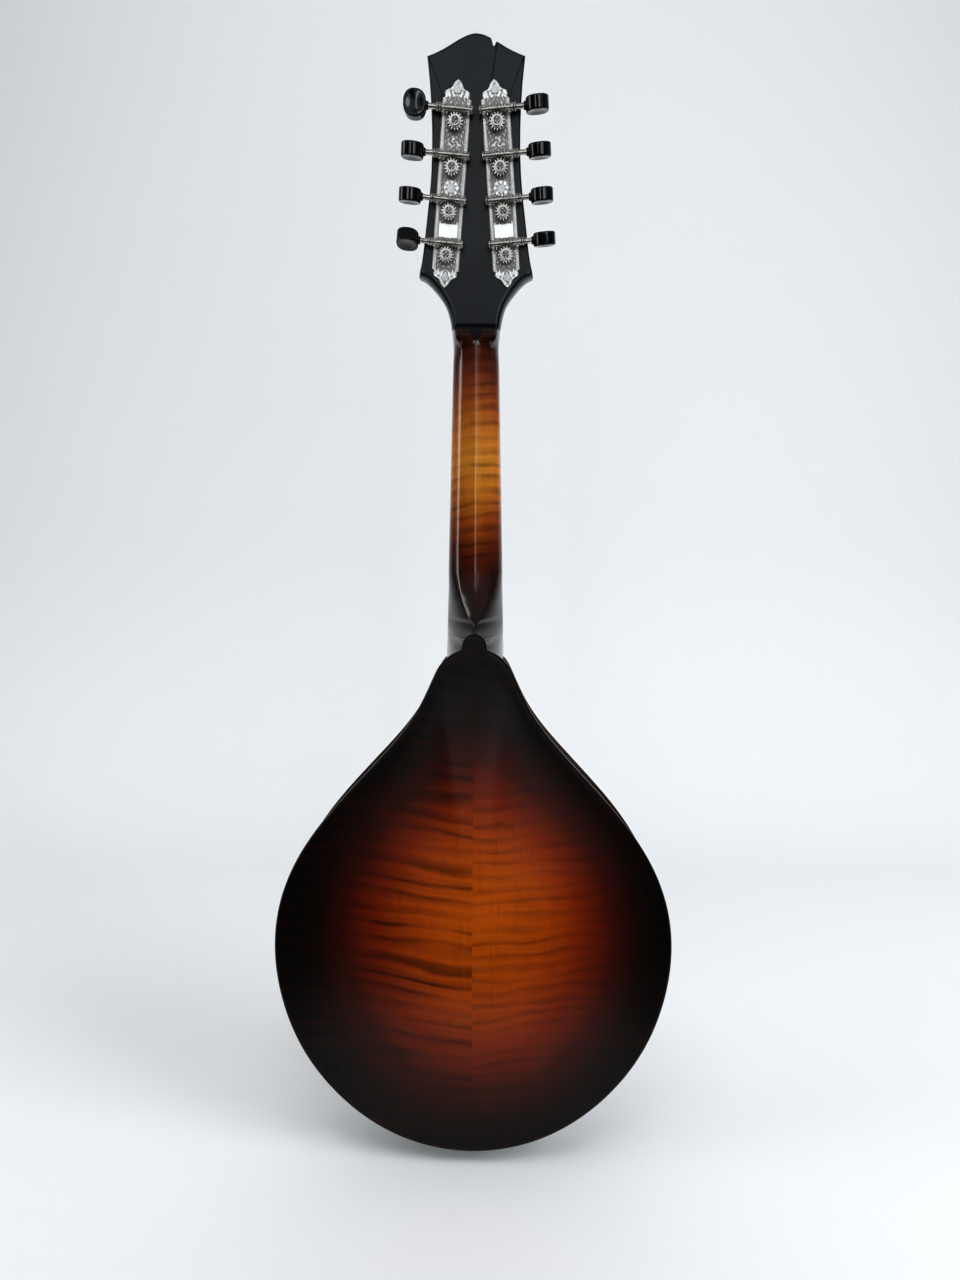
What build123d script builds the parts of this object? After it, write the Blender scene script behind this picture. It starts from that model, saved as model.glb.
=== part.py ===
"""A carved, pear-shaped mandolin: body, neck, tuners, bridge and strings as separate pieces.

Frame: the origin is where the end pin sits on the tail rim, midway through the body's depth.
+Z runs up the neck, the strings face -Y, the carved back faces +Y, and the treble side is +X.
"""
import os
from math import atan2, cos, pi, radians, sin, sqrt

import numpy as np
from build123d import *

# ---- body -------------------------------------------------------------------
body_width = 254.0           # across the widest part of the plates
body_length = 328.0          # tail to the middle of the neck end of the plates
body_depth = 47.5            # between the flat rims of the top and the back
back_arch = 13.0             # rise of the carved back above its rim
top_arch = 12.5
plate_thickness = 4.5
plate_overhang = 1.5         # the plates stand this far proud of the ribs
flat_margin = 0.07           # share of the way in from the rim that stays flat
arch_power = 1.6             # how hollow the recurve beside the rim is
arch_centre_drop = 183.0     # middle of both arches, below the neck end of the plates
rib_thickness = 2.2
glue_line = 0.1              # ribs stop this far short of the plates' inside
lining_width = 4.0
lining_height = 6.5
binding_width = 1.6          # strip let into the top's outer edge
binding_height = 3.0
button_radius = 7.9          # half round tab of the back that covers the heel
button_centre_rise = 1.0     # middle of the tab, above the neck end of the plates
# half outline of the plates: share of the half width, share of the length
outline_shares = [
    (0.0, 0.0), (0.37, 0.030), (0.688, 0.1165), (0.874, 0.2150), (0.969, 0.314),
    (1.0, 0.4155), (0.9685, 0.506), (0.8645, 0.6005), (0.684, 0.695), (0.4615, 0.7895),
    (0.2795, 0.881), (0.2, 0.945), (0.1693, 0.9674), (0.122, 0.9854), (0.063, 0.9967), (0.0, 1.0),
]
outline_end_pull = 0.5       # how strongly the outline levels out at the neck end
inset_points = 72            # points that carry the outline over to an inset one
neck_block_length = 42.0
tail_block_length = 20.0
block_half_width = 24.0
tone_bar_width = 5.0
tone_bar_depth = 7.0
tone_bar_tail_gap = 26.66    # tail block to the bars' lower ends
tone_bar_neck_gap = 46.36    # bars' upper ends to the neck block
tone_bar_offset = 27.0
tone_bar_splay = 5.0         # degrees, the bars spread towards the tail
sound_hole_x = 66.0
sound_hole_drop = 152.0      # middle of each hole, below the neck end of the plates
sound_hole_reach = 33.0      # from the middle of the hole to the centre of each eye
sound_hole_eye = 5.0         # radius of the eyes
sound_hole_stem = 5.5

# ---- neck and fingerboard -----------------------------------------------------
scale_length = 352.4
frets_to_body = 15
fret_count = 24
neck_pitch = 6.0             # degrees the neck leans back from the body's rim planes
board_above_rim = 8.5        # fingerboard face above the top's rim, at the body joint
joint_drop = 8.4             # body joint below the neck end of the plates
board_thickness = 6.0
board_end_overhang = 2.0     # wood beyond the last fret
nut_width = 29.0
joint_width = 39.0           # fingerboard width at the body joint
nut_length = 4.5
nut_rise = 1.6               # nut's top above the fingerboard face
nut_gap = 0.4                # nut to headstock overlay
neck_depth_nut = 21.4        # fingerboard face to the ridge of the neck's back
neck_depth_heel = 24.0
riser_thickness = 2.0        # neck wood under the board where it runs over the top
riser_length = 55.0
riser_half_width = 18.5
shaft_into_body = 6.0
shaft_into_head = 2.0
tenon_length = 26.0
tenon_neck_width = 18.0
tenon_tip_width = 25.0
tenon_depth = 26.0
neck_fit = 0.12              # neck wood stops this far short of the ribs and the top
tenon_root = 2.0             # tenon wood that runs on into the heel
end_room_share = 0.16        # share of the outline, from its neck end, that the neck is cut to
end_room_points = 24
end_room_depth = 30.0
fret_width = 1.3
fret_height = 0.9
fret_tang_width = 0.5
fret_tang_depth = 1.6
dot_radius = 2.5
dot_depth = 1.2
dot_frets = [3, 5, 7, 10, 12, 15, 17]
octave_dot_spread = 6.0
# heel: distance behind the rim planes' middle, half width, height of its ridge above the joint
heel_sections = [
    (-24.0, 19.3, 22.0), (-12.0, 18.6, 40.0), (-2.0, 17.0, 56.0),
    (2.5, 15.0, 40.0), (7.5, 12.6, 29.0), (13.0, 10.3, 22.0),
]
heel_run = 25.0              # heel wood made below the joint, cut away again by the body
rod_radius = 2.4
rod_thread_radius = 1.6
rod_nut_radius = 3.0         # across the corners of the hexagon
rod_nut_length = 9.0
rod_bed_gap = 0.2
rod_start = 14.0             # up the neck from the joint
rod_channel_width = 5.2
rod_channel_depth = 8.0

# ---- headstock ---------------------------------------------------------------
head_tilt = 7.0              # degrees further back than the neck
head_thickness = 15.7
overlay_thickness = 2.0
crest_height = 161.8
head_corner = (27.8, 151.0)
crest_points = [(18.3, 154.6), (11.0, 158.3)]
head_side = [(25.7, 119.0), (27.0, 87.0), (30.5, 61.0)]
head_ear = (35.1, 37.8)
head_throat = [(25.0, 30.0), (18.6, 21.0), (15.6, 10.0)]
notch = [(-8.4, 160.5), (-9.8, 155.8), (-11.4, 159.5)]
rod_pocket = (8.0, 22.0, 8.5)
cover_base = (22.0, 8.0)     # width and start of the truss rod cover
cover_tip = 40.0
cover_thickness = 1.6

# ---- tuners ------------------------------------------------------------------
post_pitch = 23.0
plate_slant = 4.93           # degrees, the plates lean together towards the head's tip
first_post = (17.9, 48.3)    # post nearest the nut
tuner_plate_width = 16.6
tuner_plate_thickness = 1.2
plate_shoulder = 9.0         # straight part of the plate beyond the first and the last post
# pointed ends of the plate: share of its half width, reach beyond its straight edges
finial_steps = [(0.84, 1.2), (0.84, 3.5), (0.4, 5.4), (0.35, 7.6), (0.0, 9.8)]
worm_lift = 3.4              # worm axis above the plate
post_radius = 3.0
gear_teeth = 15
gear_pitch_radius = post_radius + 1.1
gear_outer_radius = gear_pitch_radius + 0.55
gear_root_radius = gear_pitch_radius - 0.65
gear_thickness = 2.4
tooth_width = 0.55
worm_offset = gear_pitch_radius + 2.4     # worm axis to post axis
worm_root_radius = 1.7
worm_outer_radius = 2.85
thread_width = 0.5
thread_turns = 6
shaft_radius = 1.5
running_clearance = 0.05
bracket_inner = 6.0
bracket_height = 5.6
bracket_width = 5.5
shaft_inner_end = 9.6
post_rise = 15.0             # post above the headstock's face
post_collar = 0.4            # shoulder of the post between the plate and the gear
bushing_radius = post_radius + 1.3
bushing_flange_radius = bushing_radius + 0.9
bushing_flange_height = 1.0
bushing_depth = 8.0
bore_clearance = 0.3         # post to the bore through the headstock
winding_height = 8.0         # middle of the string's turns above the headstock's face
gear_ring_radius = 3.2       # bright ring under the gear's screw
gear_ring_height = 0.8
gear_screw_height = 1.0
plate_screw_head = (2.1, 1.0)        # radius and height of screw heads
cover_screw_head = (2.0, 0.8)
tail_screw_head = (2.4, 1.0)
button_collar = (2.6, 2.4)   # radius and length of the neck of the button
button_edge_round = 1.2
screw_head_radius = 2.7
cross_slot = (3.2, 0.6)      # length and width of the cross in the gear's screw
button_start = 17.0          # post axis to the near end of the button
button_length = 13.0
button_width = 14.0
button_thickness = 7.2
# turn of each button about its shaft, from the nut up: 0 shows its broad face to the back
button_turns = {"bass": [97.0, 95.0, 99.0, 96.0], "treble": [107.0, 85.0, 86.0, 0.0]}

# ---- strings, bridge and tailpiece --------------------------------------------
string_diameters = [1.02, 0.66, 0.38, 0.28]          # G, D, A, E
course_shares = [-1.0, -1.0 / 3.0, 1.0 / 3.0, 1.0]
nut_course_reach = 11.3
bridge_course_reach = 18.6
nut_pair_gap = 2.0
bridge_pair_gap = 2.8
action = 2.0                 # string above the board at the body joint
string_seat_gap = 0.02
bridge_length = 112.0
bridge_base_height = 3.2
bridge_base_width = 12.0
bridge_post_reach = 36.0
bridge_post_radius = 1.6
thumbwheel_radius = 5.0
thumbwheel_thickness = 1.8
thumbwheel_gap = 1.6         # base to thumbwheel, the travel left for lowering
saddle_thickness = 5.0
saddle_end_thickness = 4.2
post_in_base = 2.5
post_in_saddle = 3.0         # post standing in the saddle's blind hole
saddle_hole_depth = 4.5
tail_plate_thickness = 1.2
tail_plate_width = 38.0
tail_plate_length = 46.0
tail_plate_lift = 6.5        # underside above the top's rim
hook_row_z = 34.0
hook_radius = 1.1
cover_gap = 0.15
cover_wall = 0.8
cover_lip = 3.0              # edge of the cover folded under the base plate
cover_height = 6.5
pin_shank_radius = 3.6
pin_head_radius = 6.5
pin_neck_radius = 4.0
pin_neck_length = 4.0
pin_head_length = 5.0
screw_radius = 1.3

half_depth = body_depth / 2
rib_end_z = body_length - plate_overhang
arch_centre_z = body_length - arch_centre_drop
button_centre_z = body_length + button_centre_rise
sound_hole_z = body_length - sound_hole_drop
joint_z = body_length - joint_drop
tone_bar_low_z = plate_overhang + rib_thickness + tail_block_length + tone_bar_tail_gap
tone_bar_high_z = body_length - neck_block_length - tone_bar_neck_gap
half_width = body_width / 2
top_rim_y = -half_depth
back_rim_y = half_depth
inner_y = half_depth - plate_thickness - glue_line
joint_y = top_rim_y - board_above_rim
fb_to_nut = scale_length * (1 - 2 ** (-frets_to_body / 12))
pitch = radians(neck_pitch)
tilt = radians(neck_pitch + head_tilt)
joint_point = Vector(0, joint_y, joint_z)
neck_up = Vector(0, sin(pitch), cos(pitch))
neck_front = Vector(0, -cos(pitch), sin(pitch))
neck_plane = Plane(joint_point, x_dir=(1, 0, 0), z_dir=neck_front)
head_point = joint_point + neck_up * fb_to_nut - neck_front * board_thickness
head_front = Vector(0, -cos(tilt), sin(tilt))
head_plane = Plane(head_point, x_dir=(1, 0, 0), z_dir=head_front)
sides = {"bass": -1, "treble": 1}
tuner_numbers = range(4)
string_numbers = range(8)
plate_low = -plate_shoulder + 1.5            # straight edges of a tuner plate, from its first post
plate_high = (len(tuner_numbers) - 1) * post_pitch + plate_shoulder + 3.5
saddle_z = joint_z - (scale_length - fb_to_nut) * cos(pitch)
saddle_top_y = joint_y - action - (scale_length - fb_to_nut) * sin(pitch)
bridge_base_face_y = top_rim_y - top_arch - bridge_base_height
tail_plate_low_y = top_rim_y - tail_plate_lift
hook_y = tail_plate_low_y - tail_plate_thickness - hook_radius


# ---- helpers -----------------------------------------------------------------
def save(name, *solids):
    """Write the solids of one node."""
    found = [s for item in solids for s in item.solids()]
    shape = found[0] if len(found) == 1 else Compound(children=found)
    export_step(shape, f"parts/{name}.step")


def slab(face, front_y, back_y):
    """Extrude a face drawn in the XZ plane between two levels of Y."""
    return extrude(Pos(0, back_y, 0) * face, back_y - front_y, dir=(0, -1, 0))


def half_space(sign):
    """Everything on one side of the centre line."""
    size = 4 * body_length
    return Pos(sign * size / 2, 0, body_length) * Box(size, size, 2 * size)


def rod(start, end, radius):
    """A round bar between two points."""
    start, end = Vector(start), Vector(end)
    run = end - start
    return Solid.make_cylinder(radius, run.length, Plane(start, z_dir=run))


def neck_block_box(x_half, s_low, s_high, dep_low, dep_high):
    """A box in neck terms: along the neck, and down from the fingerboard face."""
    box = Box(2 * x_half, s_high - s_low, dep_high - dep_low)
    return neck_plane * Pos(0, (s_low + s_high) / 2, -(dep_low + dep_high) / 2) * box


def board_half_width(s):
    """Half width of the fingerboard at a distance up the neck from the joint."""
    return (joint_width + (nut_width - joint_width) * s / fb_to_nut) / 2


def fret_place(number):
    """Distance of a fret up the neck from the joint."""
    return fb_to_nut - scale_length * (1 - 2 ** (-number / 12))


# ---- plates ------------------------------------------------------------------
def outline_wire(inset=0.0):
    """Right and left halves of the plate outline, drawn in by an inset, in the XZ plane."""
    points = [(half_width * a, body_length * b) for a, b in outline_shares]
    right = Spline(*points, tangents=[(1, 0), (-1, 0)], tangent_scalars=[1, outline_end_pull])
    if inset:
        steps = [i / inset_points for i in range(inset_points + 1)]
        inward = [(right % t).rotate(Axis.Z, 90) * inset for t in steps]
        moved = [right @ t + shift for t, shift in zip(steps, inward)]
        moved[0] = Vector(0, inset)
        moved[-1] = Vector(0, body_length - inset)
        right = Spline(*moved, tangents=[(1, 0), (-1, 0)])
    left = mirror(right, about=Plane.YZ)
    return right, left


def outline_face(inset=0.0):
    """Plate outline as a face in the XZ plane, drawn in by an inset."""
    return Plane.XZ * make_face(outline_wire(inset))


def rim_radius_table():
    """Direction and distance of the outline from the arch's centre."""
    right, left = outline_wire()
    points = [edge @ (i / 240) for edge in (right, left) for i in range(241)]
    offsets = [(p.X, p.Y - arch_centre_z) for p in points]
    polar = sorted((atan2(x, z), sqrt(x ** 2 + z ** 2)) for x, z in offsets)
    turns = np.array([a for a, r in polar])
    reach = np.array([r for a, r in polar])
    return turns, reach


rim_turns, rim_reach = rim_radius_table()


def arch_height(x, z):
    """Rise of a carved plate at a point, as a share of its full arch."""
    reach = np.interp(atan2(x, z - arch_centre_z), rim_turns, rim_reach)
    share = sqrt(x ** 2 + (z - arch_centre_z) ** 2) / reach
    inward = min(max((1 - share) / (1 - flat_margin) - flat_margin, 0.0), 1.0)
    return sin(inward * pi / 2) ** arch_power


def arched_surface(rim_y, rise):
    """Carved surface over the whole plate; a negative rise carves towards the strings."""
    columns = np.linspace(-half_width - 6, half_width + 6, 43)
    rows = np.linspace(-6, body_length + 18, 55)
    grid = [[(x, rim_y + rise * arch_height(x, z), z) for x in columns] for z in rows]
    return Face.make_surface_from_array_of_points(grid, tol=0.01)


def carved_plate(rim_y, rise, outline):
    """Shell of even thickness under a carved surface, trimmed to an outline."""
    outward = 1 if rise > 0 else -1
    surface = arched_surface(rim_y, rise)
    shell = extrude(surface, plate_thickness, dir=(0, -outward, 0))
    return shell & slab(outline, rim_y - 2 * half_depth, rim_y + 2 * half_depth)


def over_surface(rim_y, rise, height):
    """Layer of even height standing on the outside of a carved surface."""
    outward = 1 if rise > 0 else -1
    return extrude(arched_surface(rim_y, rise), height, dir=(0, outward, 0))


def under_surface(rim_y, rise, depth):
    """Layer of even depth hanging under the inside of a carved plate."""
    outward = 1 if rise > 0 else -1
    inside = arched_surface(rim_y - outward * plate_thickness, rise)
    return extrude(inside, depth, dir=(0, -outward, 0))


def heel_button():
    """Half round tab at the neck end of the back."""
    low = body_length - 10
    height = button_centre_z - low
    straight = Pos(0, low + height / 2) * Rectangle(2 * button_radius, height)
    return Plane.XZ * (straight + Pos(0, button_centre_z) * Circle(button_radius))


def sound_hole(sign):
    """Outline of one f-shaped sound hole in the XZ plane."""
    bend = Spline(
        (-sound_hole_reach * 0.16, sound_hole_reach), (sound_hole_reach * 0.12, sound_hole_reach * 0.55),
        (-sound_hole_reach * 0.12, -sound_hole_reach * 0.55), (sound_hole_reach * 0.16, -sound_hole_reach),
    )
    stem = trace(bend, sound_hole_stem)
    upper = Pos(-sound_hole_reach * 0.3, sound_hole_reach) * Circle(sound_hole_eye)
    lower = Pos(sound_hole_reach * 0.3, -sound_hole_reach) * Circle(sound_hole_eye)
    shape = Sketch() + stem + upper + lower
    if sign > 0:
        shape = mirror(shape, about=Plane.YZ)
    return Plane.XZ * Pos(sign * sound_hole_x, sound_hole_z) * Rot(0, 0, sign * 8) * shape


def body_plates():
    """Back and top, each in two book-matched halves, and the top's edge binding."""
    outline = outline_face()
    back = carved_plate(back_rim_y, back_arch, outline + heel_button())
    top = carved_plate(top_rim_y, -top_arch, outline)
    inner = outline_face(binding_width)
    binding = slab(outline - inner, top_rim_y, top_rim_y + binding_height)
    rebate = slab(outline_face(-1) - inner, top_rim_y - 1, top_rim_y + binding_height)
    top = top - rebate
    holes = [slab(sound_hole(sign), -3 * half_depth, 0) for sign in (-1, 1)]
    for hole in holes:
        top = top - hole
    for name, sign in sides.items():
        half = half_space(sign)
        save(f"back_plate_{name}", back & half)
        save(f"top_plate_{name}", top & half)
    save("top_binding", binding)


def neck_end_room(inset):
    """The body's neck end as a prism whose curve runs through the centre line in one piece."""
    right = outline_wire(inset)[0].edges()[0]
    steps = [1 - end_room_share * i / end_room_points for i in range(end_room_points + 1)]
    treble = [right @ step for step in steps]
    bass = [Vector(-point.X, point.Y) for point in treble[1:]]
    curve = Spline(*reversed(treble), *bass)
    corner = treble[-1]
    low = corner.Y - end_room_depth
    closing = Polyline((corner.X, corner.Y), (corner.X, low), (-corner.X, low), (-corner.X, corner.Y))
    return Plane.XZ * make_face([curve, *closing.edges()])


def tenon(front_y):
    """Dovetail that locks the heel into the neck block, from a front level back to its full depth."""
    low = rib_end_z - tenon_length
    high = rib_end_z + tenon_root
    points = [
        (-tenon_neck_width / 2, high), (tenon_neck_width / 2, high),
        (tenon_tip_width / 2, low), (-tenon_tip_width / 2, low),
    ]
    face = Plane.XZ * make_face(Polyline(*points, close=True))
    return slab(face, front_y, -inner_y + tenon_depth)


def body_frame():
    """Ribs, linings, blocks and tone bars between the plates."""
    rib_outer = slab(outline_face(plate_overhang), -inner_y, inner_y)
    rib_inset = plate_overhang + rib_thickness
    rib_inner = slab(outline_face(rib_inset), -inner_y, inner_y)
    ring = rib_outer - rib_inner
    pin_hole = rod((0, 0, -2), (0, 0, tail_block_length + 8), pin_shank_radius)
    end_zone = Pos(0, 0, body_length) * Box(2 * block_half_width, body_depth, 2 * neck_block_length)
    tail_zone = Box(2 * block_half_width, body_depth, 2 * (tail_block_length + rib_inset))
    mortise = tenon(-inner_y - 1)
    for name, sign in sides.items():
        save(f"rib_{name}", ((ring & half_space(sign)) - pin_hole) - mortise)
    save("neck_block", (rib_inner & end_zone) - mortise)
    save("tail_block", (rib_inner & tail_zone) - pin_hole)
    lining_ring = rib_inner - slab(outline_face(rib_inset + lining_width), -inner_y, inner_y)
    between = 2 * (inner_y - lining_height)
    middle = Pos(0, 0, body_length / 2) * Box(2 * body_width, between, 2 * body_length)
    strips = lining_ring - middle - end_zone - tail_zone
    save("linings", strips)
    layer = under_surface(top_rim_y, -top_arch, tone_bar_depth)
    bar_middle = (tone_bar_low_z + tone_bar_high_z) / 2
    bar_length = (tone_bar_high_z - tone_bar_low_z) / cos(radians(tone_bar_splay))
    bars = []
    for sign in (-1, 1):
        place = Pos(sign * tone_bar_offset, 0, bar_middle) * Rot(0, -sign * tone_bar_splay, 0)
        bars.append(layer & (place * Box(tone_bar_width, body_depth * 2, bar_length)))
    save("tone_bars", *bars)


# ---- neck --------------------------------------------------------------------
def neck_section(s, depth):
    """Soft V section across the neck, in neck terms."""
    half = board_half_width(s)
    wood = depth - board_thickness
    flank = [
        (half, -board_thickness), (half * 0.93, -board_thickness - wood * 0.36),
        (half * 0.60, -board_thickness - wood * 0.74), (0, -depth),
    ]
    right = Spline(*flank, tangents=[(0, -1), (-1, -0.35)])
    left = mirror(right, about=Plane.YZ)
    across = Line((-half, -board_thickness), (half, -board_thickness))
    plane = Plane(neck_plane.origin + neck_up * s, x_dir=(1, 0, 0), z_dir=-neck_up)
    return plane * make_face([right, left, across])


def heel_section(y, half, ridge):
    """Pointed arch across the heel at one depth of the body."""
    low = joint_z - heel_run
    low_to_tip = joint_z + ridge - low
    points = [(half, low), (half * 0.97, low + low_to_tip * 0.55), (0, joint_z + ridge)]
    right = Spline(*points, tangents=[(0, 1), (-1, 1)])
    left = mirror(right, about=Plane.YZ)
    across = Line((-half, low), (half, low))
    return Pos(0, y, 0) * (Plane.XZ * make_face([right, left, across]))


def heel_cap_section():
    """The heel's end under the button of the back."""
    low = joint_z - heel_run
    tip = button_centre_z + button_radius
    points = [(button_radius, low), (button_radius * 0.97, button_centre_z + 1.9), (0, tip)]
    right = Spline(*points, tangents=[(0, 1), (-1, 0.2)])
    left = mirror(right, about=Plane.YZ)
    across = Line((-button_radius, low), (button_radius, low))
    return Pos(0, inner_y, 0) * (Plane.XZ * make_face([right, left, across]))


def head_outline():
    """Outline of the headstock in head terms."""
    corner_left = (-head_corner[0], head_corner[1])
    ear_left = (-head_ear[0], head_ear[1])
    crest = Spline(
        head_corner, *crest_points, (0, crest_height), *[(-x, s) for x, s in reversed(crest_points)],
        corner_left, tangents=[(-1, 0.3), (-1, -0.3)],
    )
    edges = [crest]
    for sign in (1, -1):
        side = [(sign * x, s) for x, s in [head_corner, *head_side, head_ear]]
        throat = [(sign * x, s) for x, s in [head_ear, *head_throat, (nut_width / 2, 0)]]
        edges.append(Spline(*side))
        edges.append(Spline(*throat, tangents=[(-sign, -0.35), (0, -1)]))
    edges.append(Line((nut_width / 2, 0), (-nut_width / 2, 0)))
    notch_face = make_face(Polyline(*notch, close=True))
    return make_face(edges) - notch_face


def head_slab(top_dep, bottom_dep, start=0.0):
    """The headstock's outline between two depths under its face."""
    face = head_outline()
    if start:
        face = face - Pos(0, start - 50) * Rectangle(200, 100)
    return head_plane * Pos(0, 0, -top_dep) * extrude(face, -(bottom_dep - top_dep))


def rod_channel():
    """Channel under the fingerboard and pocket in the headstock for the truss rod."""
    floor = board_thickness + rod_channel_depth
    channel = neck_block_box(rod_channel_width / 2, rod_start - 1, fb_to_nut, board_thickness, floor)
    width, length, depth = rod_pocket
    pocket = head_plane * Pos(0, length / 2, -depth / 2) * Box(width, length, depth)
    return channel, pocket


def neck_solid():
    """Neck, heel with its dovetail, and headstock in one piece of wood."""
    deepening = (neck_depth_heel - neck_depth_nut) / fb_to_nut
    ends = [-shaft_into_body, fb_to_nut + shaft_into_head]
    shaft = loft([neck_section(s, neck_depth_heel - deepening * s) for s in ends], ruled=True)
    heel = loft([heel_section(*row) for row in heel_sections] + [heel_cap_section()], ruled=True)
    rib_room = slab(neck_end_room(plate_overhang - neck_fit), -2 * body_depth, 2 * body_depth)
    top_room = Pos(0, 0, neck_fit) * slab(neck_end_room(0), -2 * body_depth, -inner_y)
    rim_room = Pos(0, 0, neck_fit) * slab(neck_end_room(0), top_rim_y - neck_fit, -inner_y)
    outside = ((shaft - rib_room) + (heel - rib_room)) - top_room
    riser_low = board_thickness + riser_thickness
    riser = neck_block_box(riser_half_width, -riser_length, 8, board_thickness, riser_low)
    riser = riser - rim_room
    wood = outside + riser + tenon(-inner_y)
    wood = wood - neck_plane * Pos(0, 0, 50 - board_thickness) * Box(100, 900, 100)
    slope = Plane(head_point, x_dir=(1, 0, 0), z_dir=head_front)
    wood = wood - slope * Pos(0, 100, 50 - overlay_thickness) * Box(100, 200, 100)
    wood = wood + head_slab(overlay_thickness, head_thickness)
    for part in rod_channel():
        wood = wood - part
    for sign in sides.values():
        for number in tuner_numbers:
            x, s = post_place(sign, number)
            bore = Pos(x, s, -head_thickness / 2) * Cylinder(post_radius + bore_clearance, 2 * head_thickness)
            seat = Pos(x, s, -bushing_depth / 2) * Cylinder(bushing_radius, bushing_depth)
            wood = wood - head_plane * bore - head_plane * seat
    return wood


def fingerboard():
    """Fingerboard with its fret slots and dot pockets, the frets, and the dots."""
    low = fret_place(fret_count) - board_end_overhang
    places = [(1, low), (1, fb_to_nut), (-1, fb_to_nut), (-1, low)]
    corners = [(board_half_width(s) * sign, s) for sign, s in places]
    face = make_face(Polyline(*corners, close=True))
    board = neck_plane * extrude(face, -board_thickness)
    frets = []
    for number in range(1, fret_count + 1):
        s = fret_place(number)
        width = 2 * board_half_width(s)
        tang = neck_plane * Pos(0, s, -fret_tang_depth / 2) * Box(width, fret_tang_width, fret_tang_depth)
        crown = neck_plane * Pos(0, s, fret_height / 2) * Box(width, fret_width, fret_height)
        board = board - tang
        frets.append(tang + crown)
    dots = []
    for number in dot_frets:
        s = (fret_place(number) + fret_place(number - 1)) / 2
        spread = [-octave_dot_spread, octave_dot_spread] if number == 12 else [0.0]
        for x in spread:
            dots.append(neck_plane * Pos(x, s, -dot_depth / 2) * Cylinder(dot_radius, dot_depth))
    for dot in dots:
        board = board - dot
    save("fingerboard", board)
    save("frets", *frets)
    save("position_dots", *dots)


def neck_parts():
    """Neck, headstock overlay, nut, truss rod with its nut and cover."""
    width, length, depth = rod_pocket
    overlay = head_slab(0, overlay_thickness, nut_length + nut_gap)
    overlay = overlay - head_plane * Pos(0, length / 2, 0) * Box(width, length, 20)
    for sign in sides.values():
        for number in tuner_numbers:
            x, s = post_place(sign, number)
            overlay = overlay - head_plane * Pos(x, s, 0) * Cylinder(bushing_radius, 20)
    save("neck", neck_solid())
    save("headstock_overlay", overlay)
    nut = neck_block_box(nut_width / 2, fb_to_nut, fb_to_nut + nut_length, -nut_rise, board_thickness + 3)
    wood_below = head_plane * Pos(0, 0, -overlay_thickness - 25) * Box(100, 200, 50)
    nut = nut - wood_below
    save("nut", nut - string_grooves(2))
    rod_dep = board_thickness + rod_channel_depth - rod_radius - rod_bed_gap
    shoulder = neck_point(0, fb_to_nut + 6, rod_dep)
    bar = rod(neck_point(0, rod_start, rod_dep), shoulder, rod_radius)
    thread = rod(shoulder, neck_point(0, fb_to_nut + 14, rod_dep), rod_thread_radius)
    save("truss_rod", bar + thread)
    nut_start = neck_point(0, fb_to_nut + 8, rod_dep)
    hexagon = extrude(RegularPolygon(rod_nut_radius, 6), rod_nut_length)
    hexagon = Plane(nut_start, x_dir=(1, 0, 0), z_dir=neck_up) * hexagon
    bore = rod(nut_start, nut_start + neck_up * rod_nut_length, rod_thread_radius + running_clearance)
    save("truss_rod_nut", hexagon - bore)
    save("truss_rod_cover", truss_cover())


def truss_cover():
    """Bell-shaped plate over the truss rod pocket."""
    base, start = cover_base
    points = [
        (-base / 2, start - 2), (base / 2, start - 2), (base / 2, start + 8), (base * 0.22, cover_tip - 8),
        (0, cover_tip), (-base * 0.22, cover_tip - 8), (-base / 2, start + 8),
    ]
    face = make_face(Polyline(*points, close=True))
    plate = head_plane * extrude(face, cover_thickness)
    for x, s in cover_screw_places():
        plate = plate - head_plane * Pos(x, s, 0) * Cylinder(screw_radius, 10)
    return plate


def cover_screw_places():
    """Screws of the truss rod cover, in head terms."""
    base, start = cover_base
    return [(0, cover_tip - 5), (-base / 2 + 3, start + 2), (base / 2 - 3, start + 2)]


def neck_point(x, s, dep):
    """World point from neck terms."""
    return joint_point + Vector(x, 0, 0) + neck_up * s - neck_front * dep


def head_point_at(x, s, dep):
    """World point from head terms."""
    head_up = Vector(0, sin(tilt), cos(tilt))
    return head_point + Vector(x, 0, 0) + head_up * s - head_front * dep


# ---- tuners ------------------------------------------------------------------
def post_place(sign, number):
    """Head terms of a post, counted from the nut."""
    run = number * post_pitch
    slant = radians(plate_slant)
    return sign * (first_post[0] - run * sin(slant)), first_post[1] + run * cos(slant)


def plate_frame(sign):
    """Plane on the back of the headstock: X out to the buttons, Y to the head's tip."""
    x, s = first_post[0] * sign, first_post[1]
    slant = radians(plate_slant)
    head_up = Vector(0, sin(tilt), cos(tilt))
    out = Vector(sign * cos(slant), 0, 0) + head_up * sin(slant)
    back = -head_front
    return Plane(head_point_at(x, s, head_thickness), x_dir=out, z_dir=back)


def local_y_sign(sign):
    """The plate frame's own Y points to the head's tip on one side and away on the other."""
    return 1 if plate_frame(sign).y_dir.Z > 0 else -1


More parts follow.
